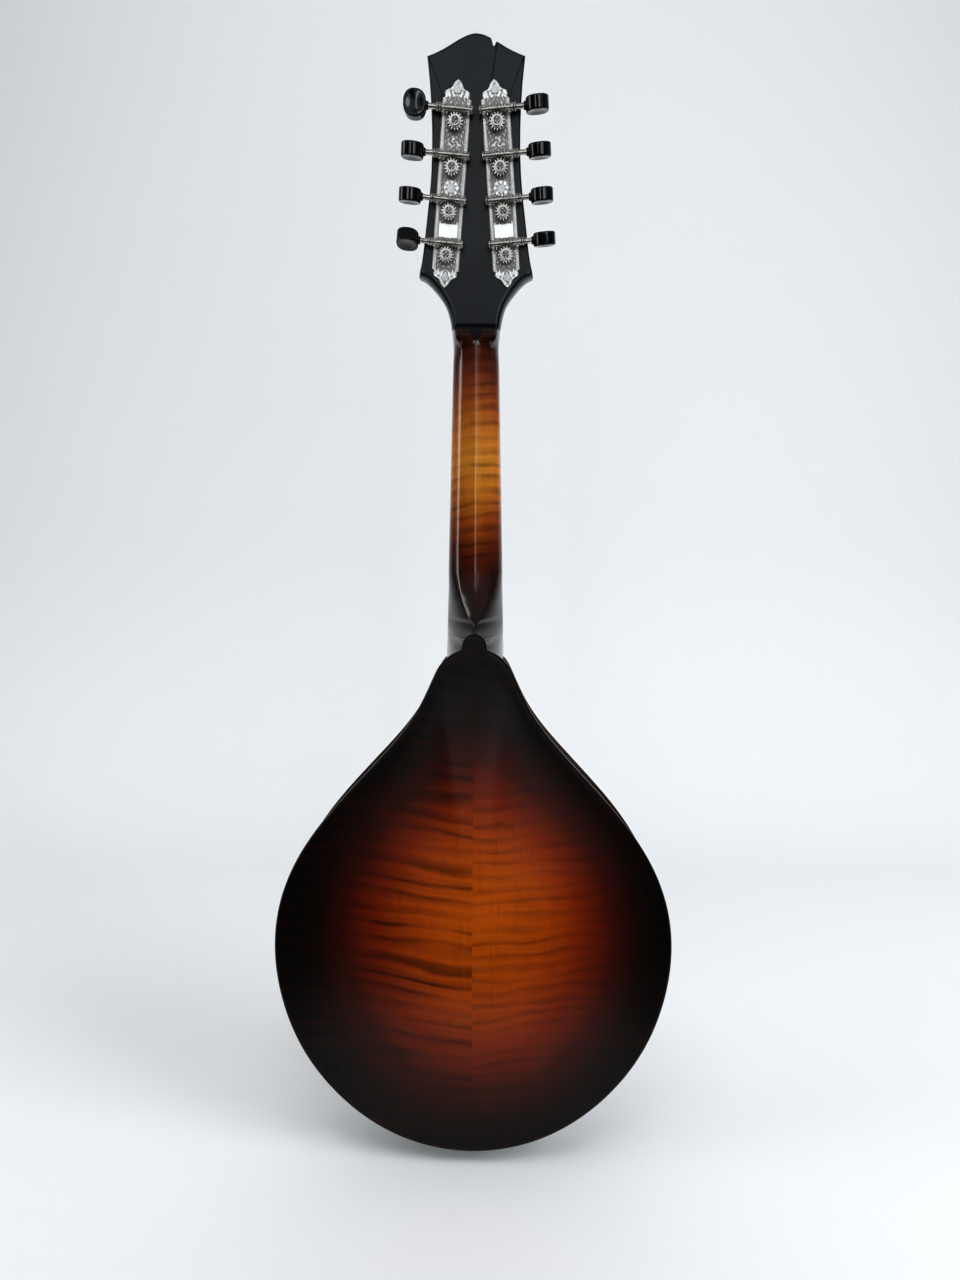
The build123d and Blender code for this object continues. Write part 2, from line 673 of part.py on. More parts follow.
def tuner_plate(sign):
    """Long plate with pointed ends, bearing brackets, post holes and screw holes."""
    flip = local_y_sign(sign)
    frame = plate_frame(sign)
    half = tuner_plate_width / 2
    low_end = [(half * share, plate_low - reach) for share, reach in reversed(finial_steps)]
    high_end = [(half * share, plate_high + reach) for share, reach in finial_steps]
    right = [*low_end, (half, plate_low), (half, plate_high), *high_end]
    left = [(-x, y) for x, y in reversed(right[1:-1])]
    face = make_face(Polyline(*[(x, flip * y) for x, y in right + left], close=True))
    plate = extrude(face, tuner_plate_thickness)
    for number in tuner_numbers:
        y = number * post_pitch
        plate = plate - Pos(0, flip * y, 0) * Cylinder(post_radius + running_clearance, 10)
        worm_y = flip * (y + worm_offset)
        for x in (-1, 1):
            width = half - bracket_inner
            middle = Pos(x * (bracket_inner + width / 2), worm_y, bracket_height / 2)
            plate = plate + middle * Box(width, bracket_width, bracket_height)
        bore = Pos(0, worm_y, tuner_plate_thickness + worm_lift) * Rot(0, 90, 0)
        plate = plate - bore * Cylinder(shaft_radius + running_clearance, 40)
    for y in plate_screw_rows():
        plate = plate - Pos(0, flip * y, 0) * Cylinder(screw_radius, 10)
    return frame * plate


def plate_screw_rows():
    """Places of the plate's wood screws along the plate."""
    return [plate_low - 4.2, post_pitch * 1.5 + 1.0, plate_high + 4.4]


def gear_face():
    """Spur gear outline with a gap centred on +X."""
    points = []
    step = 2 * pi / gear_teeth
    root = tooth_width * 1.35 / 2 / gear_root_radius
    tip = tooth_width * 0.75 / 2 / gear_outer_radius
    for tooth in range(gear_teeth):
        middle = (tooth + 0.5) * step
        corners = [
            (gear_root_radius, -root), (gear_outer_radius, -tip),
            (gear_outer_radius, tip), (gear_root_radius, root),
        ]
        for radius, turn in corners:
            points.append((radius * cos(middle + turn), radius * sin(middle + turn)))
    return make_face(Polyline(*points, close=True))


def tuner_post(sign, number):
    """Post with its gear, the gear's screw, and the string wound on the post."""
    flip = local_y_sign(sign)
    frame = plate_frame(sign) * Pos(0, flip * number * post_pitch, 0)
    gear_low = tuner_plate_thickness + worm_lift - gear_thickness / 2
    gear_high = gear_low + gear_thickness
    length = head_thickness + post_rise + gear_high
    shaft = Pos(0, 0, gear_high - length / 2) * Cylinder(post_radius, length)
    gear = extrude(Rot(0, 0, 90 * flip) * gear_face(), gear_thickness)
    gear = Pos(0, 0, gear_low) * gear
    collar_low = tuner_plate_thickness + running_clearance
    collar_length = gear_low - collar_low
    collar = Pos(0, 0, collar_low + collar_length / 2) * Cylinder(post_radius + post_collar, collar_length)
    wound = post_winding(string_of_post(sign, number))
    shaft = shaft + gear + collar - wound
    ring = Pos(0, 0, gear_high + gear_ring_height / 2) * Cylinder(gear_ring_radius, gear_ring_height)
    screw_low = gear_high + gear_ring_height
    screw = Pos(0, 0, screw_low + gear_screw_height / 2) * Cylinder(screw_head_radius, gear_screw_height)
    length, width = cross_slot
    cross = Box(width, length, gear_screw_height) + Box(length, width, gear_screw_height)
    screw = screw - Pos(0, 0, screw_low + gear_screw_height) * cross
    return [frame * piece for piece in (shaft + ring, screw, wound)]


def string_of_post(sign, number):
    """Index of the string that a post carries: 0 and 1 are the lowest pair."""
    return number if sign < 0 else 7 - number


def post_winding(string):
    """Turns of string on the post, as one ring in the plate frame."""
    radius = string_diameters[string // 2] / 2
    height = 6 * radius
    middle = -head_thickness - winding_height
    ring = Cylinder(post_radius + 2 * radius, height) - Cylinder(post_radius - 0.01, height + 1)
    return Pos(0, 0, middle) * ring



def worm_frame(sign, number):
    """Plane on the worm: Z out to the button, X towards the gear."""
    flip = local_y_sign(sign)
    frame = plate_frame(sign)
    worm_y = flip * (number * post_pitch + worm_offset)
    place = Plane(frame * Pos(0, worm_y, tuner_plate_thickness + worm_lift))
    towards_gear = place.y_dir * -flip
    return Plane(place.origin, x_dir=towards_gear, z_dir=place.x_dir)


def worm_shape():
    """Shaft with one real helical thread, its axis along Z and a crest facing +X at the middle."""
    axial_pitch = 2 * pi * gear_pitch_radius / gear_teeth
    length = thread_turns * axial_pitch
    start = -length / 2
    path = Helix(axial_pitch, length, worm_root_radius, center=(0, 0, start))
    root = thread_width * 1.35 / 2
    crest = thread_width * 0.65 / 2
    section = Polyline(
        (worm_root_radius - 0.15, -root), (worm_outer_radius, -crest), (worm_outer_radius, crest),
        (worm_root_radius - 0.15, root), close=True,
    )
    profile = Pos(0, 0, start) * (Plane.XZ * make_face(section))
    thread = sweep(profile, path=path, is_frenet=True)
    core = Cylinder(worm_root_radius, length + 0.9)
    return core + thread


def worm_shaft(worm, sign, number):
    """Worm, its journals and the stem that carries the button."""
    reach = button_start + 5
    stem = Pos(0, 0, (reach - shaft_inner_end) / 2) * Cylinder(shaft_radius, reach + shaft_inner_end)
    return worm_frame(sign, number) * (worm + stem)


def tuner_button(sign, number, turn):
    """Oval knob with a collar, bored for its stem."""
    oval = extrude(Ellipse(button_width / 2, button_length / 2), button_thickness / 2, both=True)
    oval = fillet(oval.edges(), button_edge_round)
    oval = Rot(90, 0, 0) * oval
    collar = Pos(0, 0, -button_length / 2) * Cylinder(*button_collar)
    knob = Pos(0, 0, button_start + button_length / 2) * (oval + collar)
    knob = knob - Pos(0, 0, button_start) * Cylinder(shaft_radius, 10)
    return worm_frame(sign, number) * Rot(0, 0, turn) * knob


def tuners():
    """Both plates and the eight tuning machines."""
    worm = worm_shape()
    bushings = []
    for name, sign in sides.items():
        save(f"tuner_plate_{name}", tuner_plate(sign))
        for number in tuner_numbers:
            label = f"{name}_{number + 1}"
            save(f"tuner_post_{label}", *tuner_post(sign, number))
            save(f"worm_shaft_{label}", worm_shaft(worm, sign, number))
            save(f"tuner_button_{label}", tuner_button(sign, number, button_turns[name][number]))
            x, s = post_place(sign, number)
            sleeve = Pos(x, s, -bushing_depth / 2) * Cylinder(bushing_radius, bushing_depth)
            height = bushing_flange_height
            flange = Pos(x, s, height / 2) * Cylinder(bushing_flange_radius, height)
            bore = Pos(x, s, 0) * Cylinder(post_radius + running_clearance, 60)
            bushings.append(head_plane * (sleeve + flange - bore))
    save("post_bushings", *bushings)


# ---- strings, bridge and tailpiece --------------------------------------------
def string_points(string):
    """Hook, saddle, nut and post points of one string's centre line."""
    course = string // 2
    side = -1 if string % 2 == 0 else 1
    radius = string_diameters[course] / 2
    at_bridge = course_shares[course] * bridge_course_reach + side * bridge_pair_gap / 2
    at_nut = course_shares[course] * nut_course_reach + side * nut_pair_gap / 2
    sign = -1 if string < 4 else 1
    number = string if sign < 0 else 7 - string
    post_x, post_s = post_place(sign, number)
    hook = Vector(at_bridge * 0.8, hook_y - 0.3, hook_row_z)
    saddle = Vector(at_bridge, saddle_top_y - radius - string_seat_gap, saddle_z)
    nut = neck_point(at_nut, fb_to_nut + nut_length / 2, -nut_rise + 0.5 - radius)
    end = head_point_at(post_x - sign * (post_radius + radius), post_s, -winding_height)
    short = sqrt(4 * radius * post_radius + 8 * radius ** 2) + running_clearance
    end = end + (nut - end).normalized() * short
    return [hook, saddle, nut, end], radius


def string_grooves(bend):
    """Grooves that clear every string where it bends over the saddle or the nut."""
    grooves = Part()
    for string in string_numbers:
        points, radius = string_points(string)
        room = radius + string_seat_gap
        grooves = grooves + Pos(*points[bend]) * Sphere(room)
        for other in (points[bend - 1], points[bend + 1]):
            towards = (other - points[bend]).normalized() * 8
            grooves = grooves + rod(points[bend], points[bend] + towards, room)
    return grooves


def strings():
    """Wound and plain strings, from the tailpiece hooks to the posts."""
    groups = {"wound_strings": [], "plain_strings": []}
    for string in string_numbers:
        points, radius = string_points(string)
        line = rod(points[0], points[1], radius)
        for start, end in zip(points[1:], points[2:]):
            bend = Pos(*start) * Sphere(radius)
            line = line + bend + rod(start, end, radius)
        groups["wound_strings" if string < 4 else "plain_strings"].append(line)
    for name, lines in groups.items():
        save(name, *lines)


def bridge():
    """Base carved to the top, threaded posts, thumbwheels and saddle."""
    block = Pos(0, 0, saddle_z) * Box(bridge_length, 6 * half_depth, bridge_base_width)
    above_top = over_surface(top_rim_y, -top_arch, 12.0) & block
    level = Pos(0, bridge_base_face_y - 50, saddle_z) * Box(2 * bridge_length, 100, 100)
    base = above_top - level
    posts = []
    wheels = {}
    saddle_low = bridge_base_face_y - thumbwheel_gap - thumbwheel_thickness
    post_bore = bridge_post_radius + running_clearance
    saddle = saddle_solid(saddle_low)
    for name, sign in sides.items():
        x = sign * bridge_post_reach
        post_low = bridge_base_face_y + post_in_base
        post = rod((x, post_low, saddle_z), (x, saddle_low - post_in_saddle, saddle_z), bridge_post_radius)
        posts.append(post)
        base = base - post
        wheel_low = saddle_low + thumbwheel_thickness
        wheel = rod((x, wheel_low, saddle_z), (x, saddle_low, saddle_z), thumbwheel_radius)
        hole_end = saddle_low - saddle_hole_depth
        hole = rod((x, post_low, saddle_z), (x, hole_end, saddle_z), post_bore)
        save(f"thumbwheel_{name}", wheel - hole)
        saddle = saddle - hole
    save("bridge_base", base)
    save("bridge_posts", *posts)
    save("bridge_saddle", saddle - string_grooves(1))


def saddle_solid(low_y):
    """Saddle: thick over the posts, thin at its ends, level under the strings."""
    top_y = saddle_top_y
    reach = bridge_course_reach + bridge_pair_gap
    ends = bridge_length / 2 - 4
    points = [
        (-ends, low_y), (ends, low_y), (ends, low_y - saddle_end_thickness), (reach + 6, top_y + 1.0),
        (reach, top_y), (-reach, top_y), (-reach - 6, top_y + 1.0), (-ends, low_y - saddle_end_thickness),
    ]
    face = Plane.XY * make_face(Polyline(*points, close=True))
    return Pos(0, 0, saddle_z - saddle_thickness / 2) * extrude(face, saddle_thickness)


def tailpiece():
    """Bent base plate with string hooks, and the cover that slides over it."""
    width = tail_plate_width
    thickness = tail_plate_thickness
    plate_low_y = tail_plate_low_y
    flat = Pos(0, plate_low_y - thickness / 2, tail_plate_length / 2 - thickness / 2)
    flat = flat * Box(width, thickness, tail_plate_length + thickness)
    leg_low = 11.0
    leg_height = leg_low - plate_low_y
    leg = Pos(0, leg_low - leg_height / 2, -thickness / 2) * Box(width, leg_height, thickness)
    pad_zone = Pos(0, 0, 3) * Box(width, 22, 6)
    pad = pad_zone - slab(outline_face(plate_overhang), -90, 90)
    base = flat + leg + pad
    for string in string_numbers:
        points, radius = string_points(string)
        hook = points[0]
        hook_z = hook.Z - 2.5
        base = base + rod((hook.X, plate_low_y, hook_z), (hook.X, hook_y - 2.2, hook_z), hook_radius)
    pin_hole = rod((0, 0, -10), (0, 0, 20), pin_shank_radius)
    base = base - pin_hole
    for x, y in tail_screw_places():
        base = base - rod((x, y, -10), (x, y, 20), screw_radius)
    save("tailpiece_base", base)
    save("tailpiece_cover", tail_cover(plate_low_y))


def tail_screw_places():
    """Screws through the tailpiece's leg."""
    return [(-12.0, 6.0), (12.0, 6.0), (-12.0, -7.0), (12.0, -7.0)]


def tail_cover(plate_low_y):
    """Thin cover folded over the base plate's long edges, open at both ends."""
    thickness = tail_plate_thickness
    inner_half = tail_plate_width / 2 + cover_gap
    outer_half = inner_half + cover_wall
    roof = plate_low_y - thickness - cover_height
    lip_high = plate_low_y + cover_gap + cover_wall
    shell = [(-outer_half, lip_high), (outer_half, lip_high), (outer_half, roof), (-outer_half, roof)]
    hollow = [
        (-inner_half, plate_low_y + cover_gap), (inner_half, plate_low_y + cover_gap),
        (inner_half, roof + cover_wall), (-inner_half, roof + cover_wall),
    ]
    slot_half = inner_half - cover_lip
    slot_high = lip_high + 1
    slot = [
        (-slot_half, slot_high), (slot_half, slot_high),
        (slot_half, plate_low_y), (-slot_half, plate_low_y),
    ]
    face = make_face(Polyline(*shell, close=True))
    for loop in (hollow, slot):
        face = face - make_face(Polyline(*loop, close=True))
    return Pos(0, 0, 0.5) * extrude(face, tail_plate_length - 1.5)


def end_pin():
    """Shank in the tail block and a round knob for the strap."""
    seat = -tail_plate_thickness
    shank = rod((0, 0, seat), (0, 0, tail_block_length - 2), pin_shank_radius)
    stem = rod((0, 0, seat - pin_neck_length), (0, 0, seat), pin_neck_radius)
    flange = rod((0, 0, seat - 1.0), (0, 0, seat), pin_head_radius)
    knob_end = seat - pin_neck_length - pin_head_length
    knob = rod((0, 0, knob_end), (0, 0, seat - pin_neck_length), pin_head_radius)
    save("end_pin", shank + stem + flange + knob)


def mounting_screws():
    """Wood screws of the tuner plates, the truss rod cover and the tailpiece."""
    screws = []
    for sign in sides.values():
        frame = plate_frame(sign)
        flip = local_y_sign(sign)
        for y in plate_screw_rows():
            radius, height = plate_screw_head
            head = Pos(0, flip * y, tuner_plate_thickness + height / 2) * Cylinder(radius, height)
            stem = Pos(0, flip * y, tuner_plate_thickness / 2) * Cylinder(screw_radius, tuner_plate_thickness)
            screws.append(frame * (head + stem))
    for x, s in cover_screw_places():
        radius, height = cover_screw_head
        head = Pos(x, s, cover_thickness + height / 2) * Cylinder(radius, height)
        stem = Pos(x, s, cover_thickness / 2) * Cylinder(screw_radius, cover_thickness)
        screws.append(head_plane * (head + stem))
    for x, y in tail_screw_places():
        radius, height = tail_screw_head
        head = rod((x, y, -tail_plate_thickness - height), (x, y, -tail_plate_thickness), radius)
        stem = rod((x, y, -tail_plate_thickness), (x, y, 0), screw_radius)
        screws.append(head + stem)
    save("mounting_screws", *screws)


os.makedirs("parts", exist_ok=True)
body_plates()
body_frame()
neck_parts()
fingerboard()
tuners()
strings()
bridge()
tailpiece()
end_pin()
mounting_screws()
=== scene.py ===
import math

import bmesh
import bpy
import numpy as np
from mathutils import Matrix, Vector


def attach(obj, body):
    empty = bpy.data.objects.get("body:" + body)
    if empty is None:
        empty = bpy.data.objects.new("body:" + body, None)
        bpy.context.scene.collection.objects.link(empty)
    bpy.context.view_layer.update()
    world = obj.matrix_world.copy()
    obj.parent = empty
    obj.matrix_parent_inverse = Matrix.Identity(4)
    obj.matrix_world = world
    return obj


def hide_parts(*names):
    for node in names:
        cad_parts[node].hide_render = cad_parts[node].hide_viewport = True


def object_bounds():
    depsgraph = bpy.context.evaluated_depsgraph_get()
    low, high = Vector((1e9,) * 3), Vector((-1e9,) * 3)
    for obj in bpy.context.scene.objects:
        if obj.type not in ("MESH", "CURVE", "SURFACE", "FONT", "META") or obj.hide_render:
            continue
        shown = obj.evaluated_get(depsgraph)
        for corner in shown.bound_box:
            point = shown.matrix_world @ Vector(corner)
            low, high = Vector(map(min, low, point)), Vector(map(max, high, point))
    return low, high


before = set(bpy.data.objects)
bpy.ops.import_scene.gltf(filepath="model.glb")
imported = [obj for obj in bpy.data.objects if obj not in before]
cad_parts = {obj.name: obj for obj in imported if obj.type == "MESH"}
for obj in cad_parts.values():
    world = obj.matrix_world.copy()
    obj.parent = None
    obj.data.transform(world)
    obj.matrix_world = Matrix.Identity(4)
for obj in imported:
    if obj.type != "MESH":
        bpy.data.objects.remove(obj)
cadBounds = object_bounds()
print("frame loaded:", len(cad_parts), "nodes")

mm = 0.001


# --- small tools for shapes ---------------------------------------------------

# A smooth curve through points: cubic pieces that share slope and curvature, spaced by chord length.
# startSlope and endSlope are directions; the returned array has count points.
def splineThrough(points, count, startSlope, endSlope):
    points = np.array(points, float)
    steps = np.linalg.norm(np.diff(points, axis=0), axis=1)
    knots = np.concatenate([[0.0], np.cumsum(steps)])
    total = len(points)
    system = np.zeros((total, total))
    right = np.zeros((total, points.shape[1]))
    system[0, 0] = 1.0
    system[-1, -1] = 1.0
    right[0] = startSlope
    right[-1] = endSlope
    for i in range(1, total - 1):
        before, after = steps[i - 1], steps[i]
        system[i, i - 1] = after
        system[i, i] = 2 * (before + after)
        system[i, i + 1] = before
        rise = (points[i] - points[i - 1]) * after / before + (points[i + 1] - points[i]) * before / after
        right[i] = 3 * rise
    slopes = np.linalg.solve(system, right)
    where = np.linspace(0, knots[-1], count)
    piece = np.clip(np.searchsorted(knots, where, side="right") - 1, 0, total - 2)
    width = steps[piece][:, None]
    t = ((where - knots[piece]) / steps[piece])[:, None]
    a, b = points[piece], points[piece + 1]
    p, q = slopes[piece] * width, slopes[piece + 1] * width
    return (2 * t**3 - 3 * t**2 + 1) * a + (t**3 - 2 * t**2 + t) * p + (3 * t**2 - 2 * t**3) * b + (t**3 - t**2) * q


# 0 below low, 1 above high, an even S between them
def easeStep(low, high, x):
    t = np.clip((np.asarray(x, float) - low) / (high - low), 0, 1)
    return t * t * (3 - 2 * t)


# A mesh from a grid of points: rows along the first axis, each row closed into a ring if asked.
# Rings that have shrunk to one point are merged, so poles are closed.
def gridPiece(name, grid, ring=True, attributes=None, smooth=True, merge=1e-7):
    rows, columns = grid.shape[:2]
    index = np.arange(rows * columns).reshape(rows, columns)
    across = np.roll(index, -1, axis=1) if ring else index[:, 1:]
    here = index if ring else index[:, :-1]
    quads = np.stack([here[:-1], across[:-1], across[1:], here[1:]], axis=-1).reshape(-1, 4)
    mesh = bpy.data.meshes.new(name)
    mesh.vertices.add(rows * columns)
    mesh.vertices.foreach_set("co", (grid.reshape(-1, 3) * mm).astype(np.float32).ravel())
    mesh.loops.add(quads.size)
    mesh.loops.foreach_set("vertex_index", quads.astype(np.int32).ravel())
    mesh.polygons.add(len(quads))
    mesh.polygons.foreach_set("loop_start", np.arange(0, quads.size, 4, dtype=np.int32))
    for key, values in (attributes or {}).items():
        layer = mesh.attributes.new(key, "FLOAT", "POINT")
        layer.data.foreach_set("value", np.asarray(values, np.float32).ravel())
    mesh.update()
    mesh.validate()
    shape = bmesh.new()
    shape.from_mesh(mesh)
    bmesh.ops.remove_doubles(shape, verts=shape.verts, dist=merge)
    bmesh.ops.dissolve_degenerate(shape, edges=shape.edges, dist=merge / 10)
    bmesh.ops.recalc_face_normals(shape, faces=shape.faces)
    shape.to_mesh(mesh)
    shape.free()
    if smooth:
        mesh.polygons.foreach_set("use_smooth", np.ones(len(mesh.polygons), bool))
    piece = bpy.data.objects.new(name, mesh)
    bpy.context.scene.collection.objects.link(piece)
    return piece


# Several grids joined into one piece
def joinPieces(name, pieces):
    shape = bmesh.new()
    for piece in pieces:
        shape.from_mesh(piece.data)
    mesh = bpy.data.meshes.new(name)
    shape.to_mesh(mesh)
    shape.free()
    mesh.polygons.foreach_set("use_smooth", np.ones(len(mesh.polygons), bool))
    for piece in pieces:
        bpy.data.objects.remove(piece)
    joined = bpy.data.objects.new(name, mesh)
    bpy.context.scene.collection.objects.link(joined)
    return joined


def placePiece(piece, body, material, replaced=()):
    piece.data.materials.clear()
    piece.data.materials.append(material)
    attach(piece, body)
    if replaced:
        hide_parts(*replaced)
    return piece


# --- the instrument's own frame ------------------------------------------------

# the same sizes as the CAD model's, in millimetres
body = {
    "width": 254.0, "length": 328.0, "depth": 47.5, "backArch": 13.0, "plateThickness": 4.5,
    "archCentre": 145.0, "flatMargin": 0.07, "archPower": 1.6, "edgeRound": 1.9,
    "buttonRadius": 7.9, "buttonCentre": 329.0,
    "outline": [
        (0.0, 0.0), (0.37, 0.030), (0.688, 0.1165), (0.874, 0.2150), (0.969, 0.314),
        (1.0, 0.4155), (0.9685, 0.506), (0.8645, 0.6005), (0.684, 0.695), (0.4615, 0.7895),
        (0.2795, 0.881), (0.2, 0.945), (0.1693, 0.9674), (0.122, 0.9854), (0.063, 0.9967), (0.0, 1.0),
    ],
}
neck = {
    "pitch": 6.0, "tilt": 7.0, "jointHeight": 319.6, "jointDepth": -body["depth"] / 2 - 8.5,
    "toNut": 352.4 * (1 - 2 ** (-15 / 12)), "board": 6.0, "nutWidth": 29.0, "jointWidth": 39.0,
    "headThickness": 15.7, "overlay": 2.0,
}

pitch = math.radians(neck["pitch"])
lean = math.radians(neck["pitch"] + neck["tilt"])
jointPoint = np.array([0, neck["jointDepth"], neck["jointHeight"]])
neckUp = np.array([0, math.sin(pitch), math.cos(pitch)])
neckFront = np.array([0, -math.cos(pitch), math.sin(pitch)])
headUp = np.array([0, math.sin(lean), math.cos(lean)])
headFront = np.array([0, -math.cos(lean), math.sin(lean)])
headPoint = jointPoint + neckUp * neck["toNut"] - neckFront * neck["board"]
side = np.array([1.0, 0, 0])


def neckPlace(x, s, depth):
    x, s, depth = np.broadcast_arrays(x, s, depth)
    return jointPoint + x[..., None] * side + s[..., None] * neckUp - depth[..., None] * neckFront


def headPlace(x, s, depth):
    x, s, depth = np.broadcast_arrays(x, s, depth)
    return headPoint + x[..., None] * side + s[..., None] * headUp - depth[..., None] * headFront


# --- shader maths ----------------------------------------------------------------

# A value on its way through a material. + - * / ** on it add Math nodes.
class Signal:
    def __init__(self, tree, socket):
        self.tree = tree
        self.socket = socket

    def maths(self, operation, first, second=0.0, third=0.0):
        return self.tree.node("Math", {"operation": operation}, {0: first, 1: second, 2: third})

    def __add__(self, other):
        return self.maths("ADD", self, other)

    def __radd__(self, other):
        return self.maths("ADD", other, self)

    def __sub__(self, other):
        return self.maths("SUBTRACT", self, other)

    def __rsub__(self, other):
        return self.maths("SUBTRACT", other, self)

    def __mul__(self, other):
        return self.maths("MULTIPLY", self, other)

    def __rmul__(self, other):
        return self.maths("MULTIPLY", other, self)

    def __truediv__(self, other):
        return self.maths("DIVIDE", self, other)

    def __rtruediv__(self, other):
        return self.maths("DIVIDE", other, self)

    def __pow__(self, other):
        return self.maths("POWER", self, other)

    def __abs__(self):
        return self.maths("ABSOLUTE", self)

    def sine(self):
        return self.maths("SINE", self)

    def least(self, other):
        return self.maths("MINIMUM", self, other)

    def most(self, other):
        return self.maths("MAXIMUM", self, other)

    # 0 below low, 1 above high, smooth between
    def ease(self, low, high):
        inputs = {0: self, 1: low, 2: high, 3: 0.0, 4: 1.0}
        return self.tree.node("MapRange", {"interpolation_type": "SMOOTHSTEP", "clamp": True}, inputs)


# One material being wired up
class Tree:
    def __init__(self, name):
        self.material = bpy.data.materials.new(name)
        self.material.use_nodes = True
        self.graph = self.material.node_tree
        self.graph.nodes.clear()

    # settings come first, then values or links for the sockets; returns one output as a Signal
    def node(self, kind, settings=None, inputs=None, output=0):
        made = self.graph.nodes.new("ShaderNode" + kind)
        for key, value in (settings or {}).items():
            if key == "stops":
                ramp = made.color_ramp
                while len(ramp.elements) < len(value):
                    ramp.elements.new(0.5)
                for element, (place, colour) in zip(ramp.elements, value):
                    element.position = place
                    element.color = (*colour, 1.0)
            else:
                setattr(made, key, value)
        for key, value in (inputs or {}).items():
            if isinstance(value, Signal):
                self.graph.links.new(value.socket, made.inputs[key])
            else:
                made.inputs[key].default_value = value
        self.last = made
        return Signal(self, made.outputs[output])

    def coordinates(self):
        return self.node("TexCoord", {}, {}, "Object")

    # x, y and z of the object coordinates
    def axes(self):
        place = self.coordinates()
        split = self.node("SeparateXYZ", {}, {0: place})
        return split, Signal(self, self.last.outputs[1]), Signal(self, self.last.outputs[2])

    def attribute(self, name):
        return self.node("Attribute", {"attribute_name": name}, {}, "Fac")

    def vector(self, x, y, z):
        return self.node("CombineXYZ", {}, {0: x, 1: y, 2: z})

    # object coordinates stretched by three factors and shifted
    def stretched(self, scale, shift=(0, 0, 0)):
        return self.node("Mapping", {}, {"Vector": self.coordinates(), "Scale": scale, "Location": shift})

    def noise(self, vector, scale, detail=3.0, roughness=0.5, distortion=0.0):
        inputs = {"Vector": vector, "Scale": scale, "Detail": detail, "Roughness": roughness, "Distortion": distortion}
        return self.node("TexNoise", {}, inputs, "Fac")

    def cells(self, vector, scale):
        return self.node("TexVoronoi", {}, {"Vector": vector, "Scale": scale}, "Distance")

    def ramp(self, factor, stops):
        return self.node("ValToRGB", {"stops": stops}, {0: factor}, "Color")

    def mix(self, factor, first, second, blend="MIX"):
        def colour(value):
            return (*value, 1.0) if isinstance(value, tuple) and len(value) == 3 else value
        settings = {"data_type": "RGBA", "blend_type": blend}
        return self.node("Mix", settings, {0: factor, 6: colour(first), 7: colour(second)}, 2)

    def bump(self, height, distance, strength=1.0):
        return self.node("Bump", {}, {"Height": height, "Distance": distance, "Strength": strength}, "Normal")

    # the finished surface: sockets by name, constants or Signals
    def finish(self, **sockets):
        made = self.graph.nodes.new("ShaderNodeBsdfPrincipled")
        for key, value in sockets.items():
            socket = made.inputs[" ".join(part.capitalize() for part in key.split("_")).replace("Ior", "IOR")]
            if isinstance(value, Signal):
                self.graph.links.new(value.socket, socket)
            elif isinstance(value, tuple) and len(value) == 3 and socket.type == "RGBA":
                socket.default_value = (*value, 1.0)
            else:
                socket.default_value = value
        output = self.graph.nodes.new("ShaderNodeOutputMaterial")
        self.graph.links.new(made.outputs[0], output.inputs[0])
        return self.material


# --- finishes -------------------------------------------------------------------

maple = {
    "amber": (0.47, 0.105, 0.0045), "midAmber": (0.37, 0.070, 0.0036), "deepAmber": (0.20, 0.026, 0.0028),
    "redBrown": (0.060, 0.0075, 0.0022), "umber": (0.0120, 0.0026, 0.0016), "dark": (0.0022, 0.0016, 0.0018),
    "flamePitch": 0.0105,
}


# Flame: bars across the grain. Height up the wood is bent by slow noise, then a sine gives the bars,
# and a second noise makes them fade in and out.
def flameBars(tree, across, up, pitchLength, seed, bend=0.010):
    slow = tree.noise(tree.vector(across * 14 + seed, up * 30 + seed, 0.0), 1.0, 2.0)
    drift = tree.noise(tree.vector(across * 45 + seed, up * 90, 3.1), 1.0, 3.0)
    warped = up + (slow - 0.5) * bend * 2 + (drift - 0.5) * bend * 0.55
    bars = (warped * (2 * math.pi / pitchLength)).sine() * 0.5 + 0.5
    fine = (warped * (2 * math.pi / (pitchLength * 0.43)) + 1.3).sine() * 0.5 + 0.5
    fading = tree.noise(tree.vector(across * 26 + seed, up * 34, 7.0), 1.0, 2.0).ease(0.34, 0.66)
    return (bars ** 1.7 * 0.75 + fine * 0.25) * (fading * 0.75 + 0.25)


# Pores and fibres that run up the wood: noise stretched about forty times along it
def fineGrain(tree, shift=0.0, fineness=1900.0):
    fibres = tree.noise(tree.stretched((fineness, fineness, fineness / 42), (shift, 0, 0)), 1.0, 3.0, 0.6)
    streaks = tree.noise(tree.stretched((fineness / 5, fineness / 5, 9.0), (shift, 3, 0)), 1.0, 2.0)
    return fibres * 0.6 + streaks * 0.4


